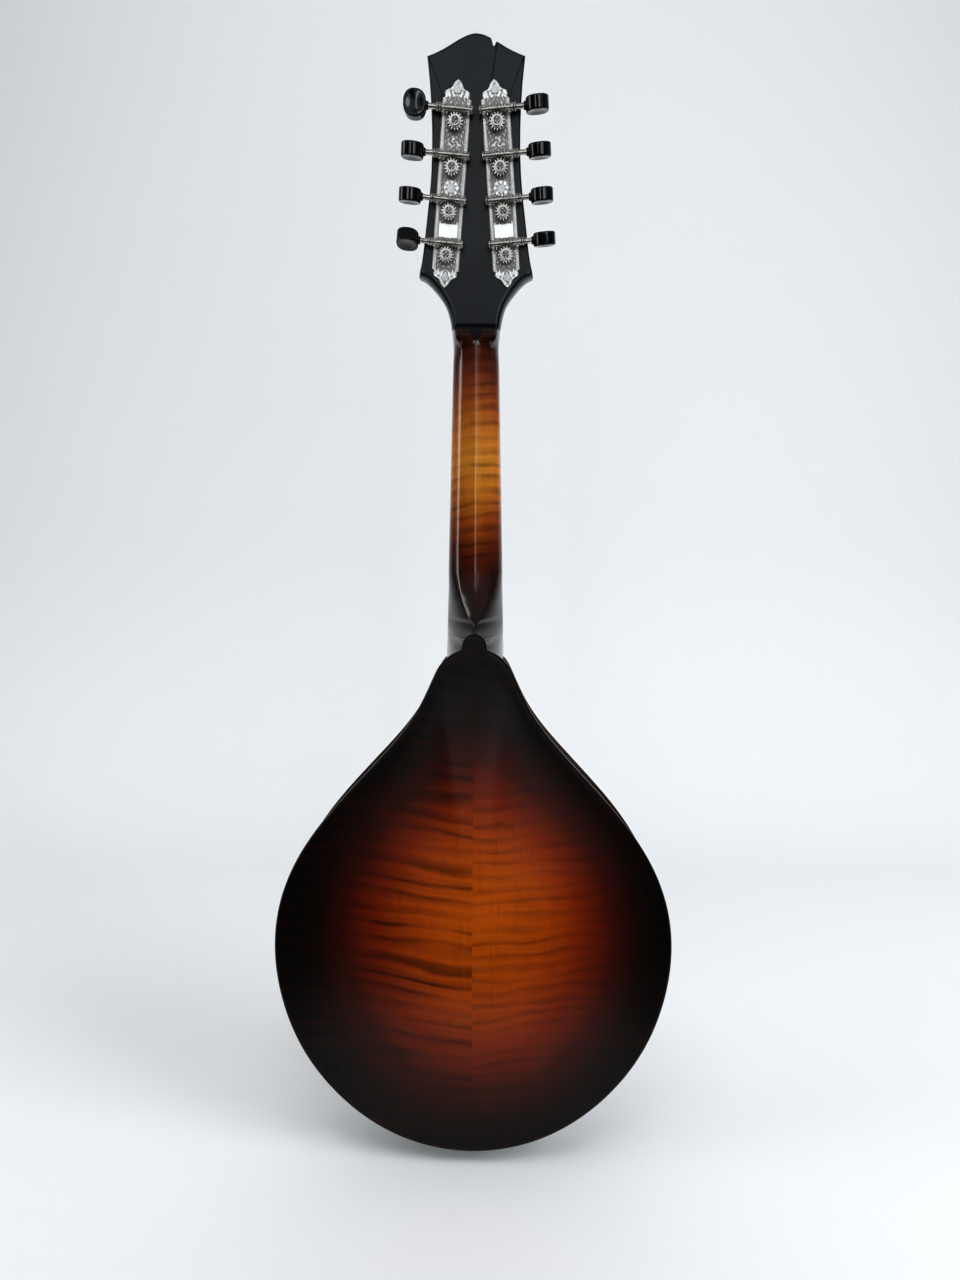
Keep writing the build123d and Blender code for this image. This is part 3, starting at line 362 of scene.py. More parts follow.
# The back: a burst from amber through red-brown to near black, by the share of the way out to the edge
def backMaple():
    tree = Tree("flamedMapleBack")
    x, y, z = tree.axes()
    burst = tree.attribute("burst")
    imageLeft = x.ease(-0.0002, 0.0002)
    flame = flameBars(tree, x * 0.55, z - abs(x) * 0.10, maple["flamePitch"], 4.0)
    calm = flameBars(tree, x * 0.8, z - abs(x) * 0.05, maple["flamePitch"] * 0.8, 11.0)
    strength = imageLeft * 0.45 + 0.55
    figure = (flame * imageLeft + calm * (1 - imageLeft)) * strength
    grain = fineGrain(tree)
    cloud = tree.noise(tree.stretched((9, 9, 7)), 1.0, 3.0)
    edge = burst + (cloud - 0.5) * 0.16 + (grain - 0.5) * 0.03
    shade = tree.ramp(edge, [
        (0.06, maple["amber"]), (0.26, maple["midAmber"]), (0.43, maple["deepAmber"]),
        (0.60, maple["redBrown"]), (0.76, maple["umber"]), (0.90, maple["dark"]),
    ])
    barred = tree.mix(figure * 0.95, shade, tree.mix(0.86, shade, (0.022, 0.004, 0.0015)))
    pores = tree.mix((grain.ease(0.50, 0.72)) * 0.30, barred, (0.045, 0.012, 0.004))
    roughness = 0.36 + (cloud - 0.5) * 0.08 + (grain - 0.5) * 0.05
    height = grain * 0.5 + cloud
    return tree.finish(
        base_color=pores, roughness=roughness, specular_ior_level=0.26, coat_weight=0.10, coat_roughness=0.30,
        normal=tree.bump(height, 0.00012, 0.35))


# The neck: amber in the middle of its length, red-brown and then black towards the head and the heel
def neckMaple():
    tree = Tree("flamedMapleNeck")
    x, y, z = tree.axes()
    flame = flameBars(tree, x * 1.5, z + x * 0.12, 0.0082, 21.0, 0.006)
    grain = fineGrain(tree, 5.0, 2300.0)
    cloud = tree.noise(tree.stretched((20, 20, 14)), 1.0, 2.0)
    middle = abs(z - 0.4465) + (cloud - 0.5) * 0.016 + abs(x) * 0.9
    shade = tree.ramp(middle / 0.13, [
        (0.0, (0.62, 0.27, 0.035)), (0.18, (0.52, 0.19, 0.022)), (0.34, (0.33, 0.085, 0.012)),
        (0.50, (0.12, 0.022, 0.006)), (0.64, (0.030, 0.008, 0.005)), (0.78, (0.010, 0.0055, 0.005)),
    ])
    barred = tree.mix(flame * 0.75, shade, tree.mix(0.82, shade, (0.030, 0.006, 0.002)))
    dart = (z - 0.5175 - abs(x) * 1.8).ease(-0.0015, 0.0015)
    stained = tree.mix(dart, barred, (0.0045, 0.0050, 0.0065))
    pores = tree.mix(grain.ease(0.52, 0.74) * 0.28 * (1 - dart), stained, (0.05, 0.013, 0.004))
    return tree.finish(
        base_color=pores, roughness=0.20 + (cloud - 0.5) * 0.08, specular_ior_level=0.5,
        coat_weight=0.7, coat_roughness=0.06, normal=tree.bump(grain, 0.00008, 0.25))


# Near-black lacquer: faint wood grain telegraphs through, with soft rub marks
def blackLacquer(name, roughness, colour=(0.006, 0.0062, 0.0075), coat=0.5):
    tree = Tree(name)
    grain = fineGrain(tree, 9.0, 1500.0)
    rub = tree.noise(tree.stretched((60, 60, 60)), 1.0, 4.0, 0.6)
    tone = tree.mix(rub.ease(0.35, 0.8) * 0.5, colour, tuple(2.2 * c for c in colour))
    gloss = roughness + (rub - 0.5) * 0.14 + (grain - 0.5) * 0.05
    return tree.finish(
        base_color=tone, roughness=gloss, specular_ior_level=0.5, coat_weight=coat, coat_roughness=0.08,
        normal=tree.bump(grain + rub * 0.6, 0.000012, 0.3))


# Spruce top: straight dark late-wood lines by a sine across the width, inside a burst by a pear-shaped distance
def spruceTop():
    tree = Tree("spruceTop")
    x, y, z = tree.axes()
    waver = tree.noise(tree.stretched((30, 30, 4)), 1.0, 3.0)
    lines = ((abs(x) + (waver - 0.5) * 0.0022) * (2 * math.pi / 0.0014)).sine() * 0.5 + 0.5
    grain = fineGrain(tree, 2.0, 1700.0)
    halfWidth = 0.128 - (z - 0.140).most(0.0) * 0.56
    share = (((x / halfWidth.most(0.03)) ** 2.0) + (((z - 0.150).least(0.0) / 0.150) ** 2.0)) ** 0.5
    upper = z.ease(0.22, 0.31) * 0.75
    cloud = tree.noise(tree.stretched((9, 9, 7)), 1.0, 3.0)
    edge = share.most(upper) + (cloud - 0.5) * 0.12
    shade = tree.ramp(edge, [
        (0.0, (0.62, 0.29, 0.075)), (0.34, (0.52, 0.20, 0.040)), (0.56, (0.26, 0.065, 0.014)),
        (0.76, (0.055, 0.013, 0.006)), (0.92, (0.010, 0.005, 0.004)),
    ])
    lined = tree.mix(lines ** 3.0 * 0.34, shade, (0.16, 0.045, 0.010))
    return tree.finish(
        base_color=lined, roughness=0.30 + (grain - 0.5) * 0.10, coat_weight=0.4, coat_roughness=0.12,
        normal=tree.bump(lines * 0.5 + grain, 0.00010, 0.3))


def bareWood(name, light, dark):
    tree = Tree(name)
    grain = fineGrain(tree, 1.0, 900.0)
    rings = tree.noise(tree.stretched((120, 120, 6)), 1.0, 3.0)
    tone = tree.mix((grain * 0.6 + rings * 0.4).ease(0.3, 0.7), light, dark)
    return tree.finish(base_color=tone, roughness=0.62 + (grain - 0.5) * 0.2, normal=tree.bump(grain, 0.0002, 0.5))


# Ebony: near black with short open pores along the grain
def ebonyWood(name, roughness):
    tree = Tree(name)
    pores = tree.noise(tree.stretched((2600, 2600, 120)), 1.0, 2.0, 0.5)
    streak = tree.noise(tree.stretched((160, 160, 8)), 1.0, 3.0)
    tone = tree.mix(streak.ease(0.45, 0.8) * 0.6, (0.010, 0.009, 0.008), (0.034, 0.026, 0.020))
    open_ = pores.ease(0.62, 0.72)
    return tree.finish(
        base_color=tree.mix(open_ * 0.7, tone, (0.003, 0.003, 0.003)), roughness=roughness + open_ * 0.25,
        specular_ior_level=0.45, normal=tree.bump(1 - open_, 0.00015, 0.5))


# Polished metal: hairline scratches by stretched noise, tarnish by slow noise
def metal(name, bright, tarnished, roughness, tarnish=0.5, stretch=(90, 90, 90)):
    tree = Tree(name)
    slow = tree.noise(tree.stretched((180, 180, 180)), 1.0, 4.0, 0.65)
    hair = tree.noise(tree.stretched(tuple(s * 24 for s in stretch)), 1.0, 2.0)
    patch = slow.ease(0.42, 0.72) * tarnish
    return tree.finish(
        base_color=tree.mix(patch, bright, tarnished), metallic=1.0,
        roughness=roughness + patch * 0.22 + (hair - 0.5) * 0.10, normal=tree.bump(hair + slow, 0.00003, 0.35))


# Engraved plate: the piece's own relief value darkens what lies low, as old silver does; in a disc under each gear the
# same value paints shade
def engravedNickel():
    tree = Tree("engravedNickel")
    relief = tree.attribute("relief")
    slow = tree.noise(tree.stretched((300, 300, 300)), 1.0, 4.0, 0.65)
    grit = tree.noise(tree.stretched((2400, 2400, 2400)), 1.0, 3.0)
    low = 1 - (relief + (slow - 0.5) * 0.5 + (grit - 0.5) * 0.2).ease(0.18, 0.62)
    tone = tree.mix(low * 0.80, (0.95, 0.93, 0.90), (0.26, 0.25, 0.24))
    return tree.finish(
        base_color=tone, metallic=1 - low * 0.35, roughness=0.36 + low * 0.22 + (slow - 0.5) * 0.12,
        normal=tree.bump(grit * 0.5 + slow, 0.00004, 0.4))


# Glossy moulded plastic with a trace of orange peel
def plastic(name, colour, roughness):
    tree = Tree(name)
    peel = tree.noise(tree.stretched((420, 420, 420)), 1.0, 3.0)
    smudge = tree.noise(tree.stretched((70, 70, 70)), 1.0, 4.0)
    tone = tree.mix(smudge * 0.4, colour, tuple(min(1.0, c * 1.7 + 0.002) for c in colour))
    return tree.finish(
        base_color=tone, roughness=roughness + (smudge - 0.5) * 0.10, specular_ior_level=0.55,
        normal=tree.bump(peel, 0.00006, 0.25))


# Pearl: soft bands of pale pink and green from bent noise
def pearl():
    tree = Tree("pearl")
    swirl = tree.noise(tree.stretched((300, 300, 300)), 1.0, 4.0, 0.5, 1.2)
    tone = tree.ramp(swirl, [(0.25, (0.72, 0.66, 0.58)), (0.45, (0.80, 0.82, 0.78)), (0.6, (0.78, 0.66, 0.68)), (0.8, (0.62, 0.76, 0.72))])
    return tree.finish(base_color=tone, roughness=0.16 + swirl * 0.1, coat_weight=0.5)


# Wound string: a fine sine along its length stands for the wrap, and paints shade into the grooves between the windings
def woundString():
    tree = Tree("woundString")
    x, y, z = tree.axes()
    wrapAndGrooveShade = ((z + y * 0.2) * (2 * math.pi / 0.00042)).sine() * 0.5 + 0.5
    wear = tree.noise(tree.stretched((60, 60, 30)), 1.0, 3.0)
    # painted shade: the dark colour lies in the grooves of the wrap, the bronze on the crowns
    tone = tree.mix(wrapAndGrooveShade, (0.16, 0.075, 0.030), (0.68, 0.42, 0.22))
    return tree.finish(
        base_color=tree.mix(wear.ease(0.5, 0.8) * 0.5, tone, (0.30, 0.22, 0.16)), metallic=1.0, roughness=0.26 + wear * 0.12,
        normal=tree.bump(wrapAndGrooveShade, 0.00006, 0.8))


finishes = {
    "backMaple": backMaple(),
    "neckMaple": neckMaple(),
    "headLacquer": blackLacquer("satinHeadLacquer", 0.34, (0.0050, 0.0062, 0.0090), 0.15),
    "ribLacquer": blackLacquer("glossRibLacquer", 0.12, (0.0060, 0.0050, 0.0048), 0.8),
    "overlay": blackLacquer("headOverlay", 0.10, (0.005, 0.005, 0.005), 0.9),
    "spruce": spruceTop(),
    "plain": bareWood("plainInsideWood", (0.50, 0.33, 0.19), (0.36, 0.21, 0.11)),
    "ebony": ebonyWood("ebony", 0.36),
    "ebonyPolished": ebonyWood("ebonyPolished", 0.16),
    "pearl": pearl(),
    "bone": plastic("bone", (0.72, 0.66, 0.52), 0.28),
    "binding": plastic("ivoryBinding", (0.66, 0.56, 0.38), 0.22),
    "button": plastic("blackButton", (0.006, 0.006, 0.007), 0.10),
    "coverPlastic": plastic("blackCover", (0.008, 0.008, 0.008), 0.14),
    "engraved": engravedNickel(),
    "nickel": metal("nickel", (0.78, 0.75, 0.71), (0.36, 0.32, 0.27), 0.16, 0.35),
    "agedNickel": metal("agedNickel", (0.70, 0.67, 0.63), (0.22, 0.20, 0.18), 0.24, 0.65),
    "steel": metal("steel", (0.62, 0.62, 0.63), (0.28, 0.27, 0.27), 0.22, 0.4),
    "darkScrew": metal("darkScrew", (0.20, 0.20, 0.23), (0.05, 0.05, 0.07), 0.24, 0.6),
    "fret": metal("fretNickel", (0.76, 0.74, 0.70), (0.50, 0.46, 0.40), 0.14, 0.3),
    "brass": metal("brass", (0.72, 0.50, 0.20), (0.38, 0.22, 0.08), 0.24, 0.5),
    "stringSteel": metal("stringSteel", (0.72, 0.72, 0.72), (0.45, 0.42, 0.38), 0.18, 0.4),
    "stringBronze": woundString(),
}
print("finishes made:", len(finishes))


# --- the carved back ------------------------------------------------------------

# The plates' outline as one ring of points: the treble half from the tail to the neck, then its mirror image
def plateRing(count):
    points = [(body["width"] / 2 * a, body["length"] * b) for a, b in body["outline"]]
    half = splineThrough(points, count, (1, 0), (-1, 0))
    other = half[1:-1][::-1] * np.array([-1, 1])
    return np.concatenate([half, other])


ringPoints = plateRing(600)
ringTurns = np.arctan2(ringPoints[:, 0], ringPoints[:, 1] - body["archCentre"])
ringReach = np.hypot(ringPoints[:, 0], ringPoints[:, 1] - body["archCentre"])
order = np.argsort(ringTurns)
ringTurns, ringReach = ringTurns[order], ringReach[order]


def rimReach(turn):
    return np.interp(turn, ringTurns, ringReach, period=2 * math.pi)


# Rise of the carved back: flat for the outer seven hundredths, then a sine raised to a power, which hollows it near the rim
def backRise(x, z):
    turn = np.arctan2(x, z - body["archCentre"])
    share = np.hypot(x, z - body["archCentre"]) / rimReach(turn)
    inward = np.clip((1 - share) / (1 - body["flatMargin"]) - body["flatMargin"], 0, 1)
    return body["backArch"] * np.sin(inward * math.pi / 2) ** body["archPower"], share


# Back: rings that are scaled copies of the outline with its heel tab, a quarter-round edge, a straight side and an inner face
def carvedBack():
    dense = np.linspace(-math.pi, math.pi, 561)[:-1]
    turns = dense - 0.93 * np.sin(dense) * np.exp(-(dense / 0.42) ** 2) * 0.35
    reach = rimReach(turns)
    centre = body["buttonCentre"] - body["archCentre"]
    sideways = centre * np.sin(turns)
    inTab = (np.abs(sideways) < body["buttonRadius"]) & (np.cos(turns) > 0)
    tab = centre * np.cos(turns) + np.sqrt(np.maximum(body["buttonRadius"] ** 2 - sideways ** 2, 0))
    straight = body["buttonRadius"] / np.maximum(np.abs(np.sin(turns)), 1e-4)
    besideTab = (np.cos(turns) > 0) & (straight * np.cos(turns) < centre)
    reach = np.where(inTab, np.maximum(reach, tab), reach)
    reach = np.where(besideTab & ~inTab, np.maximum(reach, np.minimum(straight, 0)), reach)
    rim = np.stack([reach * np.sin(turns), body["archCentre"] + reach * np.cos(turns)], axis=-1)
    tangent = np.roll(rim, -1, axis=0) - np.roll(rim, 1, axis=0)
    inward = np.stack([-tangent[:, 1], tangent[:, 0]], axis=-1)
    inward /= np.linalg.norm(inward, axis=1, keepdims=True)
    middle = np.array([0, body["archCentre"]])
    inward *= np.sign(((middle - rim) * inward).sum(axis=1, keepdims=True))
    rimY = body["depth"] / 2
    radius = body["edgeRound"]
    rings, levels = [], []
    edgeRing = rim + inward * radius
    for share in np.concatenate([np.linspace(0, 0.80, 34), np.linspace(0.82, 1.0, 16)]):
        ring = middle + share * (edgeRing - middle)
        rise, _ = backRise(ring[:, 0], ring[:, 1])
        rings.append(ring)
        levels.append(rimY + rise)
    for turn in np.linspace(0, math.pi / 2, 8)[1:]:
        rings.append(rim + inward * radius * (1 - math.sin(turn)))
        levels.append(np.full(len(rim), rimY - radius * (1 - math.cos(turn))))
    low = rimY - body["plateThickness"]
    rings.append(rim)
    levels.append(np.full(len(rim), low))
    for share in np.linspace(1, 0, 22):
        ring = middle + share * (rim + inward * 1.0 - middle)
        rise, _ = backRise(ring[:, 0], ring[:, 1])
        rings.append(ring)
        levels.append(low + rise)
    rings, levels = np.array(rings), np.array(levels)
    grid = np.stack([rings[..., 0], levels, rings[..., 1]], axis=-1)
    _, share = backRise(rings[..., 0], rings[..., 1])
    # the burst is drawn about a point a little above the arch's centre, and reaches black sooner at the neck end
    across = np.abs(rings[..., 0] + 6.0) / 118.0
    upper = np.maximum(rings[..., 1] - 165.0, 0) / 122.0
    lower = np.maximum(165.0 - rings[..., 1], 0) / 172.0
    burst = np.sqrt(across ** 2 + upper ** 2 + lower ** 2) * 0.62 + share ** 2 * 0.36
    piece = gridPiece("backPlate", grid, attributes={"burst": burst})
    return placePiece(piece, "instrument", finishes["backMaple"], ("back_plate_bass", "back_plate_treble"))


carvedBack()
print("back made")


# --- neck and headstock ----------------------------------------------------------

neckShape = {
    # up the neck from the body joint: depth of the ridge under the fingerboard's face
    "ridge": [(-9, 52.6), (0, 51.7), (10, 50.6), (17.3, 49.9), (22, 43.2), (29, 36.9), (40, 30.7),
              (54, 25.4), (72, 23.8), (130, 22.6), (196, 21.5), (204.2, 21.7), (212.3, 21.7)],
    # half width of the rounded back between the flat flanks
    "nose": [(-9, 7.9), (9, 7.9), (12, 7.4), (15, 5.6), (16.5, 3.4), (17.3, 0.15), (26.5, 0.15), (29.5, 3.1), (33.5, 5.2),
             (40.5, 8.0), (48.5, 10.0), (58, 11.2), (72, 11.3), (130, 10.2), (192, 8.9), (199, 9.0), (202, 9.8),
             (204.4, 11.6), (207, 12.4), (212.3, 13.0)],
    # share of the depth at which the rounded back begins
    "noseStart": [(-9, 1.0), (26.5, 1.0), (33.5, 0.90), (44, 0.80), (58, 0.745), (192, 0.74), (200, 0.77), (204.4, 0.93), (207, 1.0), (212.3, 1.0)],
    # how far the flanks swell outwards, as a share of the half width
    "swell": [(-9, 0.17), (14, 0.16), (24, 0.085), (38, 0.085), (58, 0.125), (192, 0.125), (207, 0.06), (212.3, 0.045)],
    "headStart": 8.0,
}


def table(name, s):
    rows = np.array(neckShape[name], float)
    return np.interp(s, rows[:, 0], rows[:, 1])


# Neck: at each place a half section runs from the fingerboard's edge down a flank and round the back to the ridge.
# Flank: straight to the rounded part, plus a parabola's swell. Both halves mirror; rows follow the neck, then lean with the head.
def neckShaft():
    start, end = -9.0, neck["toNut"] + neckShape["headStart"]
    s = np.unique(np.concatenate([
        np.linspace(start, 9, 8), np.linspace(9, 32, 60), np.linspace(32, 75, 50),
        np.linspace(75, 188, 50), np.linspace(188, end, 60)]))
    toNut = neck["toNut"]
    half = np.where(
        s < toNut, (neck["jointWidth"] + (neck["nutWidth"] - neck["jointWidth"]) * s / toNut) / 2,
        neck["nutWidth"] / 2 + (s - toNut) * 0.105)[:, None]
    ridge = splineThrough(neckShape["ridge"], 400, (1, -0.1), (1, 0))
    deep = np.interp(s, ridge[:, 0], ridge[:, 1])[:, None]
    front = (neck["board"] + neck["overlay"] * (s > toNut))[:, None]
    nose, begin, swell = table("nose", s)[:, None], table("noseStart", s)[:, None], table("swell", s)[:, None]
    v = np.linspace(0, 1, 23)[None, :]
    flankX = half - (half - nose) * v + swell * half * 4 * v * (1 - v)
    flankShare = begin * v
    w = np.linspace(0, 1, 19)[None, 1:]
    noseX = nose * (1 - w)
    noseShare = begin + (1 - begin) * (w + 0.3 * w * (1 - w))
    x = np.concatenate([flankX, noseX], axis=1)
    share = np.concatenate([flankShare, noseShare], axis=1)
    depth = front + (deep - front) * share
    x = np.concatenate([x, -x[:, -2::-1]], axis=1)
    depth = np.concatenate([depth, depth[:, -2::-1]], axis=1)
    place = np.broadcast_to(s[:, None], x.shape)
    onNeck = neckPlace(x, place, depth)
    onHead = headPlace(x, place - toNut, depth - neck["board"])
    bend = easeStep(toNut - 5, toNut + 5, place)[..., None]
    grid = onNeck + (onHead - onNeck) * bend
    firstEnd = np.broadcast_to(grid[0].mean(axis=0), grid[0].shape)[None]
    lastEnd = np.broadcast_to(grid[-1].mean(axis=0), grid[-1].shape)[None]
    grid = np.concatenate([firstEnd, grid, lastEnd])
    return gridPiece("neckShaft", grid)


# The part of the neck under the end of the fingerboard: a plain bar, its lower corners rounded
def boardRest():
    s = np.concatenate([[-54.9], np.linspace(-54.9, -6, 30), [-6]])
    half, top, low, radius = 18.4, 6.02, 7.95, 1.2
    turn = np.linspace(0, math.pi / 2, 7)
    x = np.concatenate([[half], half - radius * (1 - np.cos(turn)), (radius * (1 - np.cos(turn)) - half)[::-1], [-half]])
    depth = np.concatenate([[top], low - radius * (1 - np.sin(turn)), (low - radius * (1 - np.sin(turn)))[::-1], [top]])
    grid = neckPlace(x[None, :], s[:, None], depth[None, :])
    grid[0] = grid[0].mean(axis=0)
    grid[-1] = grid[-1].mean(axis=0)
    return gridPiece("boardRest", grid)


headShape = {
    "throat": [(15.35, 8.0), (15.6, 10.5), (18.6, 21.0), (25.0, 30.0), (35.1, 37.8)],
    "side": [(35.1, 37.8), (30.5, 61.0), (27.0, 87.0), (25.7, 119.0), (27.8, 151.0)],
    "crest": [(27.8, 151.0), (18.3, 154.6), (11.0, 158.3), (0.0, 161.8)],
    "notch": (-9.9, 1.5, 3.6),
    "edgeRound": 1.3,
    "throatInset": 0.175,
}


# Headstock: rings that follow its outline from the face to the back, drawn in round the back's edge.
# In the throat the drawing in is a share of the half width, and starts deep, so the sides sweep into the flat back.
def headstock():
    shape = headShape
    throat = splineThrough(shape["throat"], 46, (0.1, 1), (1, 0.35))
    flank = splineThrough(shape["side"], 70, (-0.35, 1), (0.12, 1))[1:]
    crest = splineThrough(shape["crest"], 60, (-1, 0.3), (-1, 0.02))[1:]
    bottom = np.stack([np.linspace(0, 15.35, 10)[:-1], np.full(9, 8.0)], axis=-1)
    right = np.concatenate([bottom, throat, flank, crest])
    left = right[1:-1][::-1] * np.array([-1, 1])
    ring = np.concatenate([right, left])
    middleX, reach, drop = shape["notch"]
    inNotch = (np.abs(ring[:, 0] - middleX) < reach) & (ring[:, 1] > 150)
    ring[:, 1] -= np.where(inNotch, drop * (1 - np.abs(ring[:, 0] - middleX) / reach), 0)
    ahead = np.roll(ring, -1, axis=0) - ring
    behind = ring - np.roll(ring, 1, axis=0)
    ahead /= np.linalg.norm(ahead, axis=1, keepdims=True)
    behind /= np.linalg.norm(behind, axis=1, keepdims=True)
    tangent = ahead + behind
    tangent /= np.linalg.norm(tangent, axis=1, keepdims=True)
    inward = np.stack([-tangent[:, 1], tangent[:, 0]], axis=-1)
    upper = easeStep(35.5, 41.0, ring[:, 1])[:, None]
    draw = inward * shape["edgeRound"] * upper
    draw[:, 0] -= (1 - upper[:, 0]) * shape["throatInset"] * ring[:, 0]
    height = shape["edgeRound"] + (1 - upper[:, 0]) * 7.0
    total = neck["headThickness"]
    middle = np.array([0, 86.0])
    rings, depths = [], []
    for share in np.linspace(0, 1, 5):
        rings.append(middle + share * (ring - middle))
        depths.append(np.full(len(ring), neck["overlay"] + 0.01))
    for share in np.linspace(0.1, 1, 8):
        rings.append(ring)
        depths.append(neck["overlay"] + (total - height - neck["overlay"]) * share)
    for turn in np.linspace(0, math.pi / 2, 9)[1:]:
        rings.append(ring + draw * (1 - math.cos(turn)))
        depths.append(total - height * (1 - math.sin(turn)))
    for share in np.linspace(1, 0, 24)[1:]:
        rings.append(middle + share * (ring + draw - middle))
        depths.append(np.full(len(ring), total))
    rings, depths = np.array(rings), np.array(depths)
    return gridPiece("headstock", headPlace(rings[..., 0], rings[..., 1], depths))


placePiece(neckShaft(), "instrument", finishes["neckMaple"], ("neck",))
placePiece(headstock(), "instrument", finishes["headLacquer"])
placePiece(boardRest(), "instrument", finishes["ribLacquer"])
print("neck and headstock made")


# --- tuning machines -------------------------------------------------------------

machine = {
    "firstPost": (17.9, 48.3), "slant": 4.93, "postPitch": 23.0, "plateThickness": 1.2, "plateWidth": 16.6,
    "wormLift": 3.4, "wormOffset": 6.5, "low": -7.5, "high": 81.5, "finial": 9.8,
    "bracketInner": 6.0, "bracketHeight": 5.6, "bracketWidth": 5.5,
    "buttonStart": 17.0, "buttonLength": 13.0, "buttonWidth": 14.0, "buttonThickness": 7.2, "dish": 0.7,
    "turns": {"bass": [97.0, 95.0, 99.0, 96.0], "treble": [107.0, 85.0, 86.0, 0.0]},
}
signs = {"bass": -1, "treble": 1}


# Axes of one plate: out to its buttons, along to the head's tip, and back off the headstock
def plateAxes(sign):
    slant = math.radians(machine["slant"])
    x, s = machine["firstPost"]
    origin = headPlace(np.array(sign * x), np.array(s), np.array(neck["headThickness"]))
    out = side * sign * math.cos(slant) + headUp * math.sin(slant)
    along = -side * sign * math.sin(slant) + headUp * math.cos(slant)
    return origin, out, along, -headFront


def platePlace(sign, across, along, height):
    origin, out, up, back = plateAxes(sign)
    across, along, height = np.broadcast_arrays(across, along, height)
    return origin + across[..., None] * out + along[..., None] * up + height[..., None] * back


def plateHalfWidth(a):
    low, high, half = machine["low"], machine["high"], machine["plateWidth"] / 2
    places = [low - 9.8, low - 8.6, low - 7.2, low - 5.9, low - 5.0, low - 3.6, low - 2.2, low - 0.9, low - 0.3, low,
              high, high + 0.3, high + 0.9, high + 2.4, high + 3.8, high + 5.0, high + 5.9, high + 7.2, high + 8.6, high + 9.8]
    lobes = [0.02, 0.20, 0.34, 0.40, 0.50, 0.84, 0.88, 0.82, 0.92, 1.0, 1.0, 0.92, 0.84, 0.88, 0.84, 0.50, 0.40, 0.34, 0.20, 0.02]
    return half * np.interp(a, places, lobes)


# Relief of a plate, 0 to 1: a rope border (a slanted sine in a band along each edge), leaf scrolls (bent sines) in the
# field, an eight-petalled rosette between the middle gears, a small knot of three lobes, and ribbed leaves on the ends
def plateReliefAndGearShade(c, a, half):
    inset = half - np.abs(c)
    border = easeStep(0.25, 0.5, inset) * (1 - easeStep(1.7, 1.95, inset))
    rope = 0.55 + 0.45 * np.sin(2 * math.pi * (a / 1.35 + np.abs(c) / 1.9))
    frameLine = easeStep(1.85, 2.0, inset) * (1 - easeStep(2.25, 2.4, inset))
    field = easeStep(2.4, 2.7, inset)
    bend = np.sin(a * 0.85 + np.abs(c) * 1.1)
    scroll = 0.5 + 0.5 * np.sin(np.abs(c) * 3.1 + 2.2 * bend + a * 0.5)
    leaves = scroll ** 2 * (0.55 + 0.45 * np.sin(a * 2.4 + np.abs(c) * 1.7))
    pitchLength = machine["postPitch"]
    blank = easeStep(9.6, 10.4, a) * (1 - easeStep(17.2, 18.0, a))
    knotPlace = a - 2.5 * pitchLength - 2.0
    knotZone = np.exp(-((knotPlace / 2.4) ** 2 + (c / 3.0) ** 2) ** 2)
    knot = 0.5 + 0.5 * np.cos(3 * np.arctan2(c, knotPlace) + 2.4 * np.hypot(c, knotPlace))
    rose = a - 1.5 * pitchLength - 1.9
    reach = np.hypot(c, rose)
    petals = 0.5 + 0.5 * np.cos(8 * np.arctan2(c, rose))
    rosette = np.where(reach < 4.6, 0.35 + 0.65 * petals * np.sin(np.clip(reach / 4.6, 0, 1) * math.pi), 0)
    rosetteMask = 1 - easeStep(4.3, 4.9, reach)
    ends = easeStep(0, 1.2, a - machine["high"]) + easeStep(0, 1.2, machine["low"] - a)
    ribs = 0.5 + 0.5 * np.cos(np.abs(c) * 2.6 - np.abs(a - 37) * 0.8)
    inner = leaves * (1 - blank) * 0.9 + blank * 0.62
    inner = inner * (1 - knotZone) + knotZone * knot
    inner = inner * (1 - rosetteMask) + rosetteMask * rosette
    relief = border * (0.45 + 0.55 * rope) + frameLine * 1.0 + field * inner
    # painted shade: the value falls to 0 in a disc under each gear, so the plate shows dark there
    gearPlace = a - pitchLength * np.clip(np.round(a / pitchLength), 0, 3)
    relief = relief * easeStep(4.5, 5.3, np.hypot(c, gearPlace))
    relief = relief * (1 - ends * 0.6) + ends * 0.6 * (0.3 + 0.7 * ribs) * easeStep(0.2, 0.6, inset)
    return np.clip(relief, 0, 1)


# Plate: rows along it, each a ring over the engraved face and back under it
def tunerPlate(name, sign):
    low, high, finial = machine["low"], machine["high"], machine["finial"]
    a = np.concatenate([[low - finial], np.linspace(low - finial + 0.05, high + finial - 0.05, 560), [high + finial]])[:, None]
    half = plateHalfWidth(a)
    spread = np.linspace(-1, 1, 89)[None, :]
    c = half * spread
    relief = plateReliefAndGearShade(c, a, half)
    edge = easeStep(0.0, 0.35, half - np.abs(c))
    height = machine["plateThickness"] - 0.40 * (1 - edge) + (relief - 0.55) * 0.34 * edge
    under = np.zeros((len(a), 2))
    across = np.concatenate([c, half * np.array([[1.0, -1.0]])], axis=1)
    heights = np.concatenate([height, under + 0.02], axis=1)
    marks = np.concatenate([relief * edge + 0.12 * (1 - edge), under], axis=1)
    grid = platePlace(sign, across, a, heights)
    grid[0] = grid[0].mean(axis=0)
    grid[-1] = grid[-1].mean(axis=0)
    return gridPiece(name, grid, attributes={"relief": marks})


